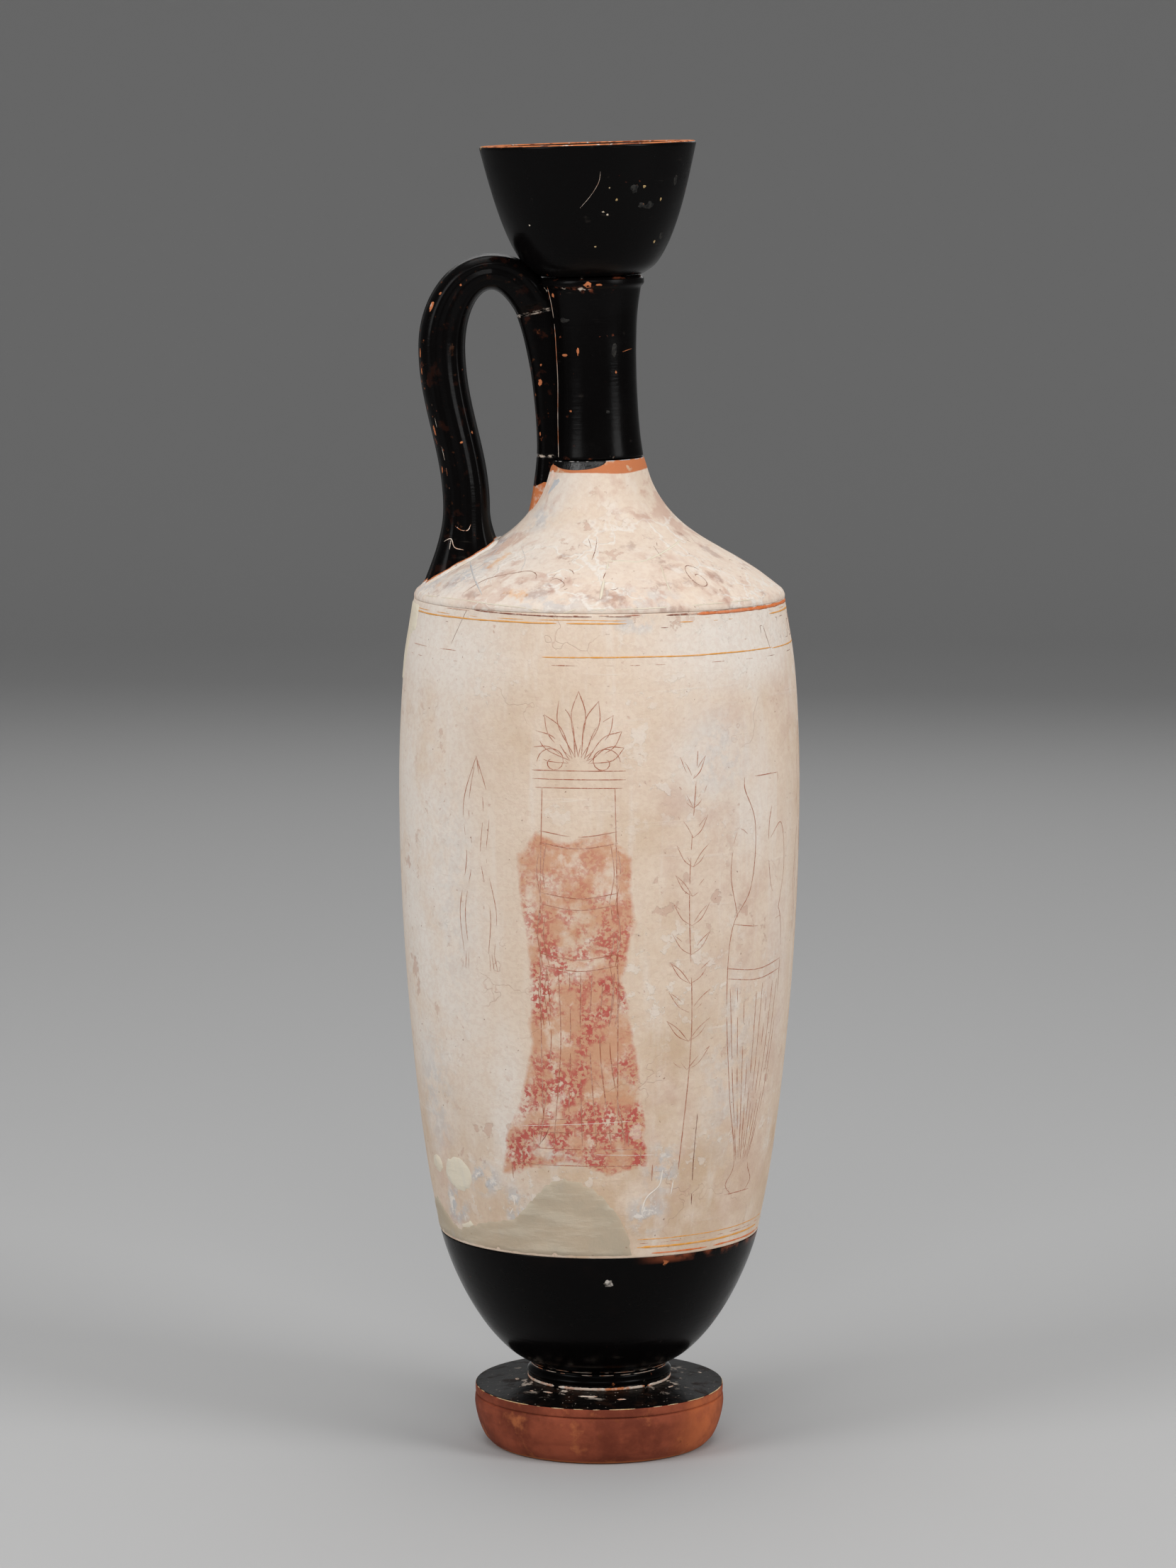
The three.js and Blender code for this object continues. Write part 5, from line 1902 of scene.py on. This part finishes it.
class FLASK_OT_paint(bpy.types.Operator):
    """Paint the framing lines, the key pattern and the scene."""
    bl_idname = "flask.paint"
    bl_label = "Painted Lines"

    def execute(self, context):
        tone = context.scene.flask_colours
        wall = bpy.data.objects["wall_turned"]
        surface = SURFACES["body_wall"]
        ochre, band, faint = Brush(surface, 21), Brush(surface, 24), Brush(surface, 25)
        draw_frames(ochre, band, faint)
        dark, red = Brush(surface, 22), Brush(surface, 23)
        draw_key_pattern(dark)
        draw_scene(red)
        shoulder = bpy.data.objects["shoulder_turned"]
        scrolls = Brush(SURFACES["shoulder"], 26)
        draw_scrolls(scrolls)
        tendrils = Brush(Seen("shoulder_turned"), 27)
        tendrils.line(pixels(*LONG_TENDRIL), 0.45, kept=0.66)
        tendrils.line(pixels(*SHORT_TENDRIL), 0.4, kept=0.66)
        for brush, ground, name, shade, fade in (
            (ochre, wall, "ochre_lines", tone.line_ochre, 0.2),
            (band, wall, "orange_band", tone.line_orange, 0.15),
            (faint, wall, "faint_lines", tone.line_red, 0.6),
            (dark, wall, "key_pattern", tone.line_dark, 0.45),
            (red, wall, "scene_lines", tone.line_red, 0.35),
            (scrolls, shoulder, "scroll_remains", tone.line_dark, 0.6),
            (tendrils, shoulder, "tendrils", tone.line_dark, 0.5),
        ):
            piece = brush.lay(name, ground, line_finish(name.replace("_", " ").capitalize(), shade, fade))
            finish_piece(piece, "red_wash")
        return {"FINISHED"}


def draw_frames(ochre, band, faint):
    """Framing lines: paired above, single over the scene, paired above the black."""
    for height, width, kept in ((254.1, 0.3, 0.72), (253.2, 0.62, 0.86)):
        ochre.ring(height, -76, 8, width, kept)
        ochre.ring(height, 8, 62, width * 0.8, 0.36)
        ochre.ring(height, 62, 220, width, 0.55)
    ochre.ring(243.6, -17, 62, 0.55, 0.86)
    ochre.ring(243.3, 62, 90, 0.5, 0.7)
    ochre.ring(243.3, 90, 215, 0.5, 0.55)
    for height, width in ((71.1, 0.4), (68.6, 0.8)):
        ochre.ring(height, 13, 74, width, 0.8)
        ochre.ring(height, 74, 232, width, 0.55)
    band.ring(255.35, 30, 92, 1.3, 0.86, 0.05)
    band.ring(255.35, 90, 205, 1.0, 0.5, 0.05)
    band.ring(66.6, 14, 76, 0.7, 0.7)
    band.ring(66.6, 76, 232, 0.7, 0.5)
    band.ring(70.0, 13, 76, 0.35, 0.35)
    faint.ring(255.4, 20, 44, 0.8, 0.62)
    faint.ring(255.6, -54, -24, 0.45, 0.6)
    faint.ring(255.5, -8, 12, 0.7, 0.62)
    for height, start, end in ((243.8, -76, -44), (240.8, -74, -43), (241.3, -14, 60), (69.8, 14, 76)):
        faint.ring(height, start, end, 0.3, 0.5)


# Two tendrils that are left at the front, by pixels of the photograph
LONG_TENDRIL = ((653, 837), (684, 818), (722, 809), (750, 806), (757, 811), (753, 823))
SHORT_TENDRIL = ((771, 823), (785, 816), (797, 825), (790, 830))


def draw_scrolls(brush):
    """What is left of a palm-leaf and scroll pattern on the shoulder."""
    for middle in (-66, -4, 30, 62, 98, 132, 166, 200, 234):
        for side in (-1, 1):
            scroll = []
            for i in range(22):
                turn = i / 21 * 8.5
                size = 5.2 - turn * 0.5
                across = middle + side * (9 + math.cos(turn) * size)
                scroll.append((across, 264.5 + math.sin(turn) * size * 0.72))
            brush.line(scroll, 0.4, kept=0.42, step=0.8)
        for i in range(5):
            lean = math.radians(-50 + i * 25)
            tip = (middle + math.sin(lean) * 6, 270 + math.cos(lean) * 6)
            bulge = (tip[0] * 0.5 + middle * 0.5 + 0.8, 273)
            brush.line([(middle + math.sin(lean), 270), bulge, tip], 0.35, kept=0.4)


def draw_key_pattern(brush):
    """A running key between the upper lines, nearly lost on the left."""
    low, high = 245.4, 251.8
    unit = 8.0
    turn = -66.0
    while turn < 205:
        kept = 0.22 + 0.28 * smooth_share(turn, 40, 80) - 0.3 * smooth_share(turn, 170, 205)
        step = (high - low) / 4
        x = unit / 6
        key = [
            (turn, low), (turn, high), (turn + x * 5, high), (turn + x * 5, low + step),
            (turn + x * 2, low + step), (turn + x * 2, high - step), (turn + x * 3.6, high - step),
        ]
        brush.line(key, 0.42, smooth=False, kept=kept)
        brush.line([(turn + x * 3.6, high - step), (turn + x * 3.6, low + step * 2)], 0.4, False, kept)
        brush.line([(turn, low), (turn + unit, low)], 0.42, False, kept)
        turn += unit
    brush.ring(241.3, 60, 200, 0.35, 0.5)


def mirrored(points, middle):
    return [(2 * middle - x, y) for x, y in points]


def draw_scene(brush):
    draw_grave_slab(brush, -6, 94)
    draw_jar(brush, 53, 82)
    draw_shoot(brush, 27, 92)
    draw_ribbon(brush, -37, 214)
    draw_ribbon(brush, 82, 220)
    draw_grave_slab(brush, 108, 94)
    draw_jar(brush, 158, 82)
    draw_shoot(brush, 134, 92)
    draw_ribbon(brush, 184, 214)


def draw_grave_slab(brush, middle, ground):
    """A stepped grave slab with a palm-leaf top, ribbons tied round it and a cloth over it."""
    thin = 0.34
    left = [(middle - 11.5, ground + 14), (middle - 11, ground + 70), (middle - 10.2, ground + 112)]
    brush.line(left, thin, kept=0.72)
    brush.line(mirrored(left, middle), thin, kept=0.72)
    for level, half in ((0, 23), (5, 19), (10, 15), (14, 13)):
        brush.line([(middle - half, ground + level), (middle + half, ground + level)], thin, kept=0.7)
        side = [(middle - half, ground + level - 5), (middle - half, ground + level)]
        brush.line(side, thin, False, 0.7)
        brush.line(mirrored(side, middle), thin, False, 0.7)
    for level, half in ((112, 12.2), (114.5, 13.2), (117, 13.2)):
        brush.line([(middle - half, ground + level), (middle + half, ground + level)], thin, kept=0.75)
    base = ground + 118
    for i in range(9):
        lean = math.radians(-66 + i * 16.5)
        tall = 22 - 8 * abs(i - 4) / 4
        tip = (middle + math.sin(lean) * tall, base + math.cos(lean) * tall)
        for side in (-1, 1):
            bulge = (
                middle + math.sin(lean) * tall * 0.7 + side * math.cos(lean) * 2.0,
                base + math.cos(lean) * tall * 0.7 - side * math.sin(lean) * 2.0,
            )
            heart = (middle + math.sin(lean) * 3, base + math.cos(lean) * 3)
            brush.line([heart, bulge, tip], thin, kept=0.74)
    for side in (-1, 1):
        scroll = []
        for i in range(15):
            turn = i / 14 * 7.2
            size = 4.6 - turn * 0.5
            scroll.append((middle + side * (7.2 + math.cos(turn) * size), base + 1.5 + math.sin(turn) * size))
        brush.line(scroll, thin, kept=0.8)
    for level in (96, 78, 60):
        for lift in (0, 3.4):
            brush.line([
                (middle - 11, ground + level + lift), (middle, ground + level + lift - 1.6),
                (middle + 11, ground + level + lift),
            ], thin, kept=0.75)
        for side in (-1, 1):
            for drift in (0, 1.8):
                brush.line([
                    (middle + side * (9 + drift), ground + level),
                    (middle + side * (10 + drift), ground + level - 9),
                    (middle + side * (8.6 + drift), ground + level - 18),
                ], thin * 0.9, kept=0.7)
    for i in range(7):
        start = middle - 9 + i * 3.2
        brush.line([
            (start, ground + 58), (start + 0.6 - i * 0.3, ground + 36),
            (start + (i - 3) * 1.3, ground + 6),
        ], thin, kept=0.62)


def draw_jar(brush, middle, ground):
    """A tall fluted jar on a low foot."""
    thin = 0.32
    side = [
        (middle - 4, ground), (middle - 7, ground + 3), (middle - 4, ground + 8), (middle - 9, ground + 30),
        (middle - 13, ground + 62), (middle - 11.5, ground + 82), (middle - 5, ground + 92),
        (middle - 3.6, ground + 112), (middle - 8, ground + 122), (middle - 8, ground + 125),
    ]
    brush.line(side, thin, kept=0.72)
    brush.line(mirrored(side, middle), thin, kept=0.62)
    brush.line([(middle - 8, ground + 125), (middle + 8, ground + 125)], thin, kept=0.7)
    brush.line([(middle - 7, ground), (middle + 7, ground)], thin, kept=0.7)
    for level, half in ((66, 13), (82, 11.6), (69, 13)):
        brush.line([
            (middle - half, ground + level), (middle, ground + level - 1.5), (middle + half, ground + level),
        ], thin, kept=0.65)
    for i in range(9):
        share = (i - 4) / 4
        brush.line([
            (middle + share * 3.2, ground + 10), (middle + share * 8.2, ground + 34),
            (middle + share * 11.8, ground + 63),
        ], thin, kept=0.66)
    for bend in (-1, 1):
        brush.line([
            (middle + bend * 4, ground + 106), (middle + bend * 10, ground + 110),
            (middle + bend * 13, ground + 98), (middle + bend * 10, ground + 84),
        ], thin, kept=0.7)


def draw_shoot(brush, middle, ground):
    """A tall shoot with pairs of leaves."""
    stem = [
        (middle - 1, ground), (middle + 1, ground + 40),
        (middle - 1, ground + 84), (middle + 1.5, ground + 124),
    ]
    brush.line(stem, 0.36, kept=0.66)
    for i in range(11):
        level = ground + 30 + i * 8.6
        for side in (-1, 1):
            reach = 7.5 - i * 0.35
            tip = (middle + side * reach, level + 6.5)
            for bow in (0.6, -1.6):
                brush.line([
                    (middle, level), (middle + side * reach * 0.5, level + 3.4 + bow), tip,
                ], 0.28, kept=0.58)


def draw_ribbon(brush, middle, top):
    """A knotted ribbon hung up by its middle."""
    for side in (-1, 1):
        for drift in (0, 2.0):
            brush.line([
                (middle, top),
                (middle + side * (2.5 + drift), top - 14), (middle + side * (1.5 + drift), top - 30),
                (middle + side * (4.5 + drift), top - 46), (middle + side * (3.5 + drift), top - 58),
            ], 0.28, kept=0.6)
        for i in range(3):
            brush.line([
                (middle + side * (3.8 + i * 0.8), top - 58), (middle + side * (4.0 + i * 1.2), top - 63),
            ], 0.22, kept=0.7)


# Chips and crumbs

def flake_object(seed):
    """One small flake, a unit across and thin, with an uneven border."""
    luck = random.Random(seed)
    points, faces = [(0, 0, 0.10), (0, 0, -0.25)], []
    count = 9
    for i in range(count):
        turn = i / count * math.tau
        reach = 0.5 * (0.6 + 0.5 * luck.random())
        points.append((math.cos(turn) * reach, math.sin(turn) * reach * 0.75, 0.0))
    for i in range(count):
        a, b = 2 + i, 2 + (i + 1) % count
        faces.append((0, a, b))
        faces.append((1, b, a))
    mesh = bpy.data.meshes.new("flake")
    mesh.from_pydata(points, [], faces)
    return new_object("flake", mesh)


def lay_flakes(name, ground, marks, finish, seed):
    """Sets separate chips on a piece, where the photograph shows them; the same flakes lay scuffs, a painted
    highlight and the vent's painted shade.
    """
    luck = random.Random(seed)
    points, faces = [], []
    bpy.context.view_layer.update()
    for across, down, wide, tall in marks.values():
        spot = seen(ground, across, down)
        if spot is None:
            continue
        found, middle, normal, index = ground.closest_point_on_mesh(spot)
        sideways = Vector((-middle.y, middle.x, 0)).normalized()
        sideways = (sideways - normal * sideways.dot(normal)).normalized()
        rise = normal.cross(sideways)
        first, count = len(points), 14
        reaches = [0.5 * (0.62 + 0.5 * luck.random()) * MM for i in range(count)]
        for ring, lift in ((1.0, -0.00004), (0.8, 0.00006)):
            for i in range(count):
                turn = i / count * math.tau
                part = sideways * math.cos(turn) * wide + rise * math.sin(turn) * tall
                place = ground.closest_point_on_mesh(middle + part * reaches[i] * ring)
                points.append(place[1] + place[2] * lift)
        points.append(middle + normal * 0.00002)
        points.append(middle - normal * 0.0004)
        for i in range(count):
            a, b = first + i, first + (i + 1) % count
            faces.append((a, b, b + count, a + count))
            faces.append((a + count, b + count, first + 2 * count))
            faces.append((b, a, first + 2 * count + 1))
    return mesh_from(name, points, faces, finish)


# Marks that the photograph shows: the pixel of each middle, and its width and height
MOUTH_DOTS = {
    "bright dot at the upper right": (909, 263, 1.2, 1.1),
    "dot left of it": (870, 282, 0.8, 0.9),
    "dot near the right side": (932, 281, 0.9, 1.2),
    "upper dot of the pair": (851, 299, 0.8, 0.6),
    "lower dot of the pair": (857, 303, 0.8, 0.7),
    "dot low in the middle": (840, 348, 0.8, 0.6),
    "dot low at the right": (923, 341, 1.0, 1.0),
    "dot low at the left": (747, 318, 0.7, 0.6),
    "white point": (860, 265, 0.6, 0.5),
    "chip in the rim's left end": (679, 208, 2.2, 3.0),
}
MOUTH_SCUFFS = {
    "round scuff": (895, 266, 3.2, 3.2),
    "wide scuff": (916, 290, 4.2, 2.8),
    "scuff left of it": (905, 289, 2.8, 2.2),
    "scuff at the right side": (953, 254, 2.4, 3.4),
    "scuff low at the right": (933, 332, 2.8, 2.8),
}
NECK_CHIPS = {
    "chip on the ridge": (829, 402, 2.9, 2.5),
    "tail of the ridge chip": (845, 402, 2.4, 0.7),
    "chip under the ridge": (780, 417, 1.2, 1.6),
    "brown chips over the handle": (757, 390, 2.4, 1.2),
    "long chip": (797, 501, 2.6, 0.9),
    "tall chip": (815, 496, 0.9, 2.6),
    "brown point": (869, 525, 0.7, 0.9),
    "pale point at the left": (805, 580, 1.1, 0.7),
}
# The tall mark at the neck's right is a painted highlight: a dull grey streak where the gloss shows a
# reflection. The others are scuffs.
NECK_SCUFFS_AND_HIGHLIGHT = {
    "blue scuff": (796, 452, 4.0, 1.8),
    "tall painted highlight": (866, 494, 2.2, 5.0),
    "pale point at the right": (858, 581, 1.6, 1.1),
}
STRAP_CHIPS = {
    "brown patch": (609, 432, 1.8, 4.6),
    "pink point over it": (621, 414, 0.9, 1.1),
    "brown point at the crown": (650, 402, 1.0, 0.7),
    "chip at the break": (731, 455, 1.0, 0.9),
    "upper chips of the outer side": (593, 498, 0.8, 3.2),
    "lower chips of the outer side": (595, 524, 0.7, 2.6),
    "long orange chip": (613, 607, 0.9, 4.2),
    "pink chip": (624, 663, 1.0, 2.6),
    "orange point": (666, 610, 0.9, 1.1),
    "point below it": (651, 624, 1.2, 0.8),
}
TONGUE_CHIPS = {
    "orange chip": (762, 540, 1.5, 2.2),
    "point over it": (763, 515, 0.8, 0.8),
    "orange point low down": (762, 612, 0.7, 1.2),
}
FOOT_FLAKES = {
    "long flake at the front": (829, 1970, 6.5, 1.6),
    "flake left of the front": (773, 1964, 4.0, 1.2),
    "flake right of the front": (877, 1974, 3.4, 1.2),
    "flake at the right": (946, 1956, 3.0, 1.2),
    "flake at the far right": (987, 1936, 2.4, 1.2),
    "flake at the left": (730, 1945, 3.0, 1.4),
    "point at the left": (750, 1962, 1.6, 0.9),
}
VENT_RING = {"ring round the vent": (858, 1811, 3.6, 3.4)}
# The vent's dark middle is painted shade: a black disc laid where the hole would be dark.
VENT_HOLE_SHADE = {"vent": (858, 1811, 1.5, 1.4)}

# Lines of wear, and one painted highlight, by pixels of the photograph: the line, its width in millimetres
# and the share kept
WALL_CRACKS = {
    "white crack at the left": (((592, 1360), (600, 1400), (612, 1440)), 0.5, 0.75),
    "upper scratch on the cloth": (((735, 1588), (820, 1586), (890, 1582)), 0.2, 0.7),
    "lower scratch on the cloth": (((840, 1629), (890, 1630), (925, 1629)), 0.2, 0.8),
    "crust line left of the dome": (((722, 1685), (726, 1697), (720, 1712)), 0.7, 0.8),
    "crust line at the right": (((935, 1650), (930, 1672), (912, 1690), (905, 1710)), 0.6, 0.66),
    "crust branch at the right": (((950, 1665), (944, 1690), (930, 1706)), 0.45, 0.6),
    "edge over the brown line": (((640, 850), (720, 856), (778, 862), (815, 860), (880, 861)), 0.5, 0.66),
}
DARK_CRACKS = {
    "crack at the upper left": (((665, 847), (651, 876), (636, 909)), 0.2, 0.8),
    "red crack at the upper right": (((1076, 882), (1087, 916)), 0.3, 0.9),
    "side crack": (((985, 1560), (978, 1640), (975, 1700)), 0.3, 0.6),
    "black scratch on the cloth": (((776, 1587), (770, 1602), (758, 1618)), 0.25, 0.8),
}
BROWN_EDGE = {
    "brown line under the edge": (((633, 855), (680, 862), (734, 867), (800, 870), (891, 870)), 0.5, 0.7),
    "red end of the orange band": (((940, 868), (1000, 864), (1040, 859)), 0.7, 0.8),
}
SHOULDER_JOINS = {
    "left joint": (((600, 840), (650, 846), (700, 853), (760, 860)), 0.45, 0.7),
    "dip of the joint": (((745, 859), (778, 868), (812, 860)), 0.5, 0.9),
    "right joint": (((820, 860), (900, 859), (1000, 852), (1060, 846)), 0.45, 0.66),
    "upper join": (((838, 794), (873, 791), (905, 792), (944, 774), (960, 762)), 0.8, 0.62),
    "upright join": (((858, 795), (853, 815), (847, 845)), 1.1, 0.7),
    "branch of the join": (((932, 797), (938, 815), (946, 836)), 0.5, 0.6),
}
SHOULDER_CRACKS = {
    "left crack": (((663, 792), (668, 812), (680, 839)), 0.7, 0.9),
    "scar behind the root": (((640, 812), (676, 800), (705, 772)), 0.5, 0.7),
    "hair crack": (((735, 770), (741, 790), (735, 806)), 0.2, 0.7),
}
NECK_CRACKS = {
    "joint along the tongue": (
        ((772, 404), (778, 430), (782, 457), (785, 500), (787, 540), (787, 590), (788, 645)), 0.34, 0.8,
    ),
    "joint at the neck's foot": (((786, 649), (820, 653), (858, 656), (894, 657)), 0.26, 0.62),
}
NECK_SCRATCH = {"brown scratch": (((842, 501), (868, 499), (896, 490)), 0.22, 0.6)}
MOUTH_SCRATCH = {"scratch": (((847, 242), (845, 256), (834, 275), (818, 294)), 0.09, 0.75)}
# The long scratch is partly a painted highlight: a pale line down the strap's side where its furrow catches
# the light.
STRAP_CRACKS_AND_HIGHLIGHT = {
    "long scratch and painted highlight": (((609, 570), (617, 606), (628, 652), (634, 690)), 0.14, 0.5),
    "break's edge": (((730, 453), (742, 447), (756, 444), (768, 441)), 0.2, 0.6),
    "upper crack at the root": (((642, 742), (651, 748), (660, 748), (664, 740)), 0.26, 0.75),
    "lower crack at the root": (((626, 764), (636, 760), (641, 772), (654, 776)), 0.3, 0.8),
    "foot of the root crack": (((636, 762), (634, 775)), 0.25, 0.9),
}


class FLASK_OT_wear(bpy.types.Operator):
    """Set the chips, the scuffs, the cracks and the plaster joins, with a few painted highlights and the
    vent's painted shade.
    """
    bl_idname = "flask.wear"
    bl_label = "Wear"

    def execute(self, context):
        paint, tone = context.scene.flask_paint, context.scene.flask_colours
        bare = clay_finish("Chipped clay")
        pale = dust_finish("Pale chip")
        rows = (
            ("mouth_turned", "mouth_chips", bare, 500.0, 1),
            ("neck_turned", "neck_chips", bare, 600.0, 2),
            ("bowl_turned", "bowl_chips", pale, 400.0, 3),
            ("strap_handle", "handle_chips", bare, 1400.0, 4),
            ("strap_tongue", "tongue_chips", pale, 4200.0, 5),
        )
        for ground, name, finish, density, seed in rows:
            flake = flake_object(paint.chip_seed + seed)
            piece = grow(name, chip_tree(), {
                "Surface": bpy.data.objects[ground],
                "Flake": flake,
                "Density": density,
                "Smallest": 0.00018,
                "Largest": 0.00065,
                "Seed": paint.chip_seed + seed,
                "Finish": finish,
            })
            bpy.data.objects.remove(flake)
            if len(piece.data.vertices) == 0:
                raise RuntimeError(f"{name} has no chips")
            finish_piece(piece, "bare_clay")
        olive = root_slip_plain("Olive chip", tone.chip_olive)
        dull = scuffed_finish()
        sets = (
            ("mouth_dots", "mouth_turned", olive, MOUTH_DOTS),
            ("mouth_scuffs", "mouth_turned", dull, MOUTH_SCUFFS),
            ("neck_scuffs", "neck_turned", dull, NECK_SCUFFS_AND_HIGHLIGHT),
            ("neck_flakes", "neck_turned", bare, NECK_CHIPS),
            ("strap_flakes", "strap_handle", bare, STRAP_CHIPS),
            ("tongue_flakes", "strap_tongue", bare, TONGUE_CHIPS),
            ("foot_flakes", "foot_turned", pale, FOOT_FLAKES),
            ("vent_ring", "bowl_turned", root_slip_plain("Vent rim", tone.vent_rim), VENT_RING),
            # The vent's black disc is painted shade for the hole.
            ("vent_hole", "vent_ring", root_slip_plain("Vent hole", tone.gloss), VENT_HOLE_SHADE),
        )
        for seed, (name, ground, finish, marks) in enumerate(sets):
            finish_piece(lay_flakes(name, bpy.data.objects[ground], marks, finish, seed), "bare_clay")
        self.lay_seen_lines(tone)
        self.lay_rings(tone)
        return {"FINISHED"}

    def lay_seen_lines(self, tone):
        """Cracks, scratches and joins that the photograph shows as lines, and a pale line that is partly a
        painted highlight.
        """
        rows = (
            ("wall_cracks", "wall_turned", WALL_CRACKS, "white_ground",
             line_finish("Pale line", tone.ground_chalk, 0.3)),
            ("dark_cracks", "wall_turned", DARK_CRACKS, "bare_clay",
             line_finish("Dark crack", tone.clay_dark, 0.3)),
            ("brown_edge", "wall_turned", BROWN_EDGE, "red_wash",
             line_finish("Brown edge", tone.line_dark, 0.4)),
            ("shoulder_joins", "shoulder_turned", SHOULDER_JOINS, "plaster",
             plaster_finish("Plaster join", True)),
            ("shoulder_cracks", "shoulder_turned", SHOULDER_CRACKS, "white_ground",
             line_finish("Grey line", tone.slip_grey, 0.4)),
            ("neck_cracks", "neck_turned", NECK_CRACKS, "bare_clay", dust_finish("Neck dust")),
            ("neck_scratch", "neck_turned", NECK_SCRATCH, "bare_clay", clay_finish("Neck scratch")),
            ("mouth_scratch", "mouth_turned", MOUTH_SCRATCH, "bare_clay", dust_finish("Mouth dust")),
            ("strap_cracks", "strap_handle", STRAP_CRACKS_AND_HIGHLIGHT, "bare_clay", dust_finish("Strap dust")),
        )
        for seed, (name, ground, marks, slot, finish) in enumerate(rows):
            brush = Brush(Seen(ground), 31 + seed)
            for line, width, kept in marks.values():
                brush.line(pixels(*line), width, kept=kept, step=0.6)
            finish_piece(brush.lay(name, bpy.data.objects[ground], finish), slot)

    def lay_rings(self, tone):
        """Slip and clay that show in rings round the foot, the bowl and the collar."""
        for name, ground, node, finish, rings in (
            ("collar_line", "shoulder_turned", "shoulder", line_finish("Collar line", tone.slip_grey, 0.4), (
                (297.1, 0.3, 0.55),)),
            ("bowl_base_slip", "bowl_turned", "lower_body", dust_finish("Bowl dust"), ((24.9, 0.8, 0.62),)),
            ("foot_edge_line", "foot_turned", "foot_disc", line_finish("Foot edge", tone.edge_cream, 0.3), (
                (17.5, 0.34, 0.6),)),
            ("fillet_slip", "fillet_moulding", "fillet_ring", dust_finish("Fillet dust"), (
                (19.9, 1.1, 0.72), (23.9, 0.3, 0.6))),
        ):
            brush = Brush(SURFACES[node], 50)
            for height, width, kept in rings:
                brush.ring(height, -180, 180, width, kept, 0.05)
            finish_piece(brush.lay(name, bpy.data.objects[ground], finish), "bare_clay")


# The stage

class FLASK_OT_stage(bpy.types.Operator):
    """Set the floor, the lamps and the camera."""
    bl_idname = "flask.stage"
    bl_label = "Stage"

    def execute(self, context):
        scene = context.scene
        rings, sides = [(0.0, 0.0), (0.6, 0.0), (2.4, 0.0)], 96
        for i in range(1, 17):
            turn = i / 16 * math.pi / 2
            rings.append((2.4 + math.sin(turn) * 1.6, 1.6 - math.cos(turn) * 1.6))
        rings.append((4.0, 4.5))
        points, faces = [], []
        for radius, height in rings:
            for k in range(sides):
                turn = k / sides * math.tau
                points.append((radius * math.cos(turn), radius * math.sin(turn), height - 0.0002))
        for i in range(len(rings) - 1):
            for k in range(sides):
                a, b = i * sides + k, i * sides + (k + 1) % sides
                faces.append((a, b, b + sides, a + sides))
        paper = Finish("Paper").start((0.46, 0.46, 0.46, 1.0)).done(0.95, 0.1)
        floor = mesh_from("floor", points, faces, paper)

        lamp("left_box", (-1.25, -0.95, 0.95), (0, 0, 0.26), 0.7, 1.2, 14.0)
        lamp("right_box", (1.25, -0.85, 0.9), (0, 0, 0.26), 0.6, 1.2, 15.0)
        lamp("front_box", (-0.1, -1.5, 1.5), (0, 0, 0.25), 1.0, 0.7, 9.0)
        lamp("top_box", (0, 0.2, 1.5), (0, 0, 0.25), 1.2, 1.2, 7.0)
        lamp("back_box", (0.2, 1.6, 1.0), (0, 0, 0.25), 1.4, 0.9, 4.0)
        world = bpy.data.worlds.new("Plain light")
        world.use_nodes = True
        world.node_tree.nodes["Background"].inputs["Color"].default_value = (1, 1, 1, 1)
        world.node_tree.nodes["Background"].inputs["Strength"].default_value = 0.28
        scene.world = world

        eye = bpy.data.cameras.new("camera")
        eye.sensor_fit = "VERTICAL"
        eye.sensor_height = SENSOR
        eye.lens = LENS
        camera = new_object("camera", eye)
        camera.location = EYE
        camera.rotation_euler = (math.pi / 2 - TILT, 0, 0)
        scene.camera = camera
        scene.view_settings.view_transform = "Standard"
        return {"FINISHED"}


def lamp(name, place, target, wide, tall, power):
    light = bpy.data.lights.new(name, "AREA")
    light.shape = "RECTANGLE"
    light.size = wide
    light.size_y = tall
    light.energy = power
    thing = new_object(name, light)
    thing.visible_camera = False
    thing.location = place
    thing.rotation_euler = (Vector(target) - Vector(place)).to_track_quat("-Z", "Y").to_euler()


class FLASK_PT_panel(bpy.types.Panel):
    """The flask's steps and its sizes."""
    bl_label = "Oil Flask"
    bl_space_type = "VIEW_3D"
    bl_region_type = "UI"
    bl_category = "Flask"

    def draw(self, context):
        scene = context.scene
        for step in STEPS:
            self.layout.operator(step.bl_idname)
        for group in (scene.flask_throwing, scene.flask_handle, scene.flask_paint, scene.flask_colours):
            box = self.layout.box()
            for name in group.__annotations__:
                box.prop(group, name)


STEPS = (
    FLASK_OT_foot, FLASK_OT_body, FLASK_OT_neck, FLASK_OT_handle, FLASK_OT_fills,
    FLASK_OT_paint, FLASK_OT_wear, FLASK_OT_stage,
)
CLASSES = (FlaskThrowing, FlaskHandle, FlaskPaint, FlaskColours) + STEPS + (FLASK_PT_panel,)


def register():
    for item in CLASSES:
        bpy.utils.register_class(item)
    bpy.types.Scene.flask_throwing = PointerProperty(type=FlaskThrowing)
    bpy.types.Scene.flask_handle = PointerProperty(type=FlaskHandle)
    bpy.types.Scene.flask_paint = PointerProperty(type=FlaskPaint)
    bpy.types.Scene.flask_colours = PointerProperty(type=FlaskColours)


def unregister():
    del bpy.types.Scene.flask_colours
    del bpy.types.Scene.flask_paint
    del bpy.types.Scene.flask_handle
    del bpy.types.Scene.flask_throwing
    for item in reversed(CLASSES):
        bpy.utils.unregister_class(item)


def main():
    register()
    for step in STEPS:
        group, name = step.bl_idname.split(".")
        getattr(getattr(bpy.ops, group), name)()


if __name__ == "__main__":
    main()
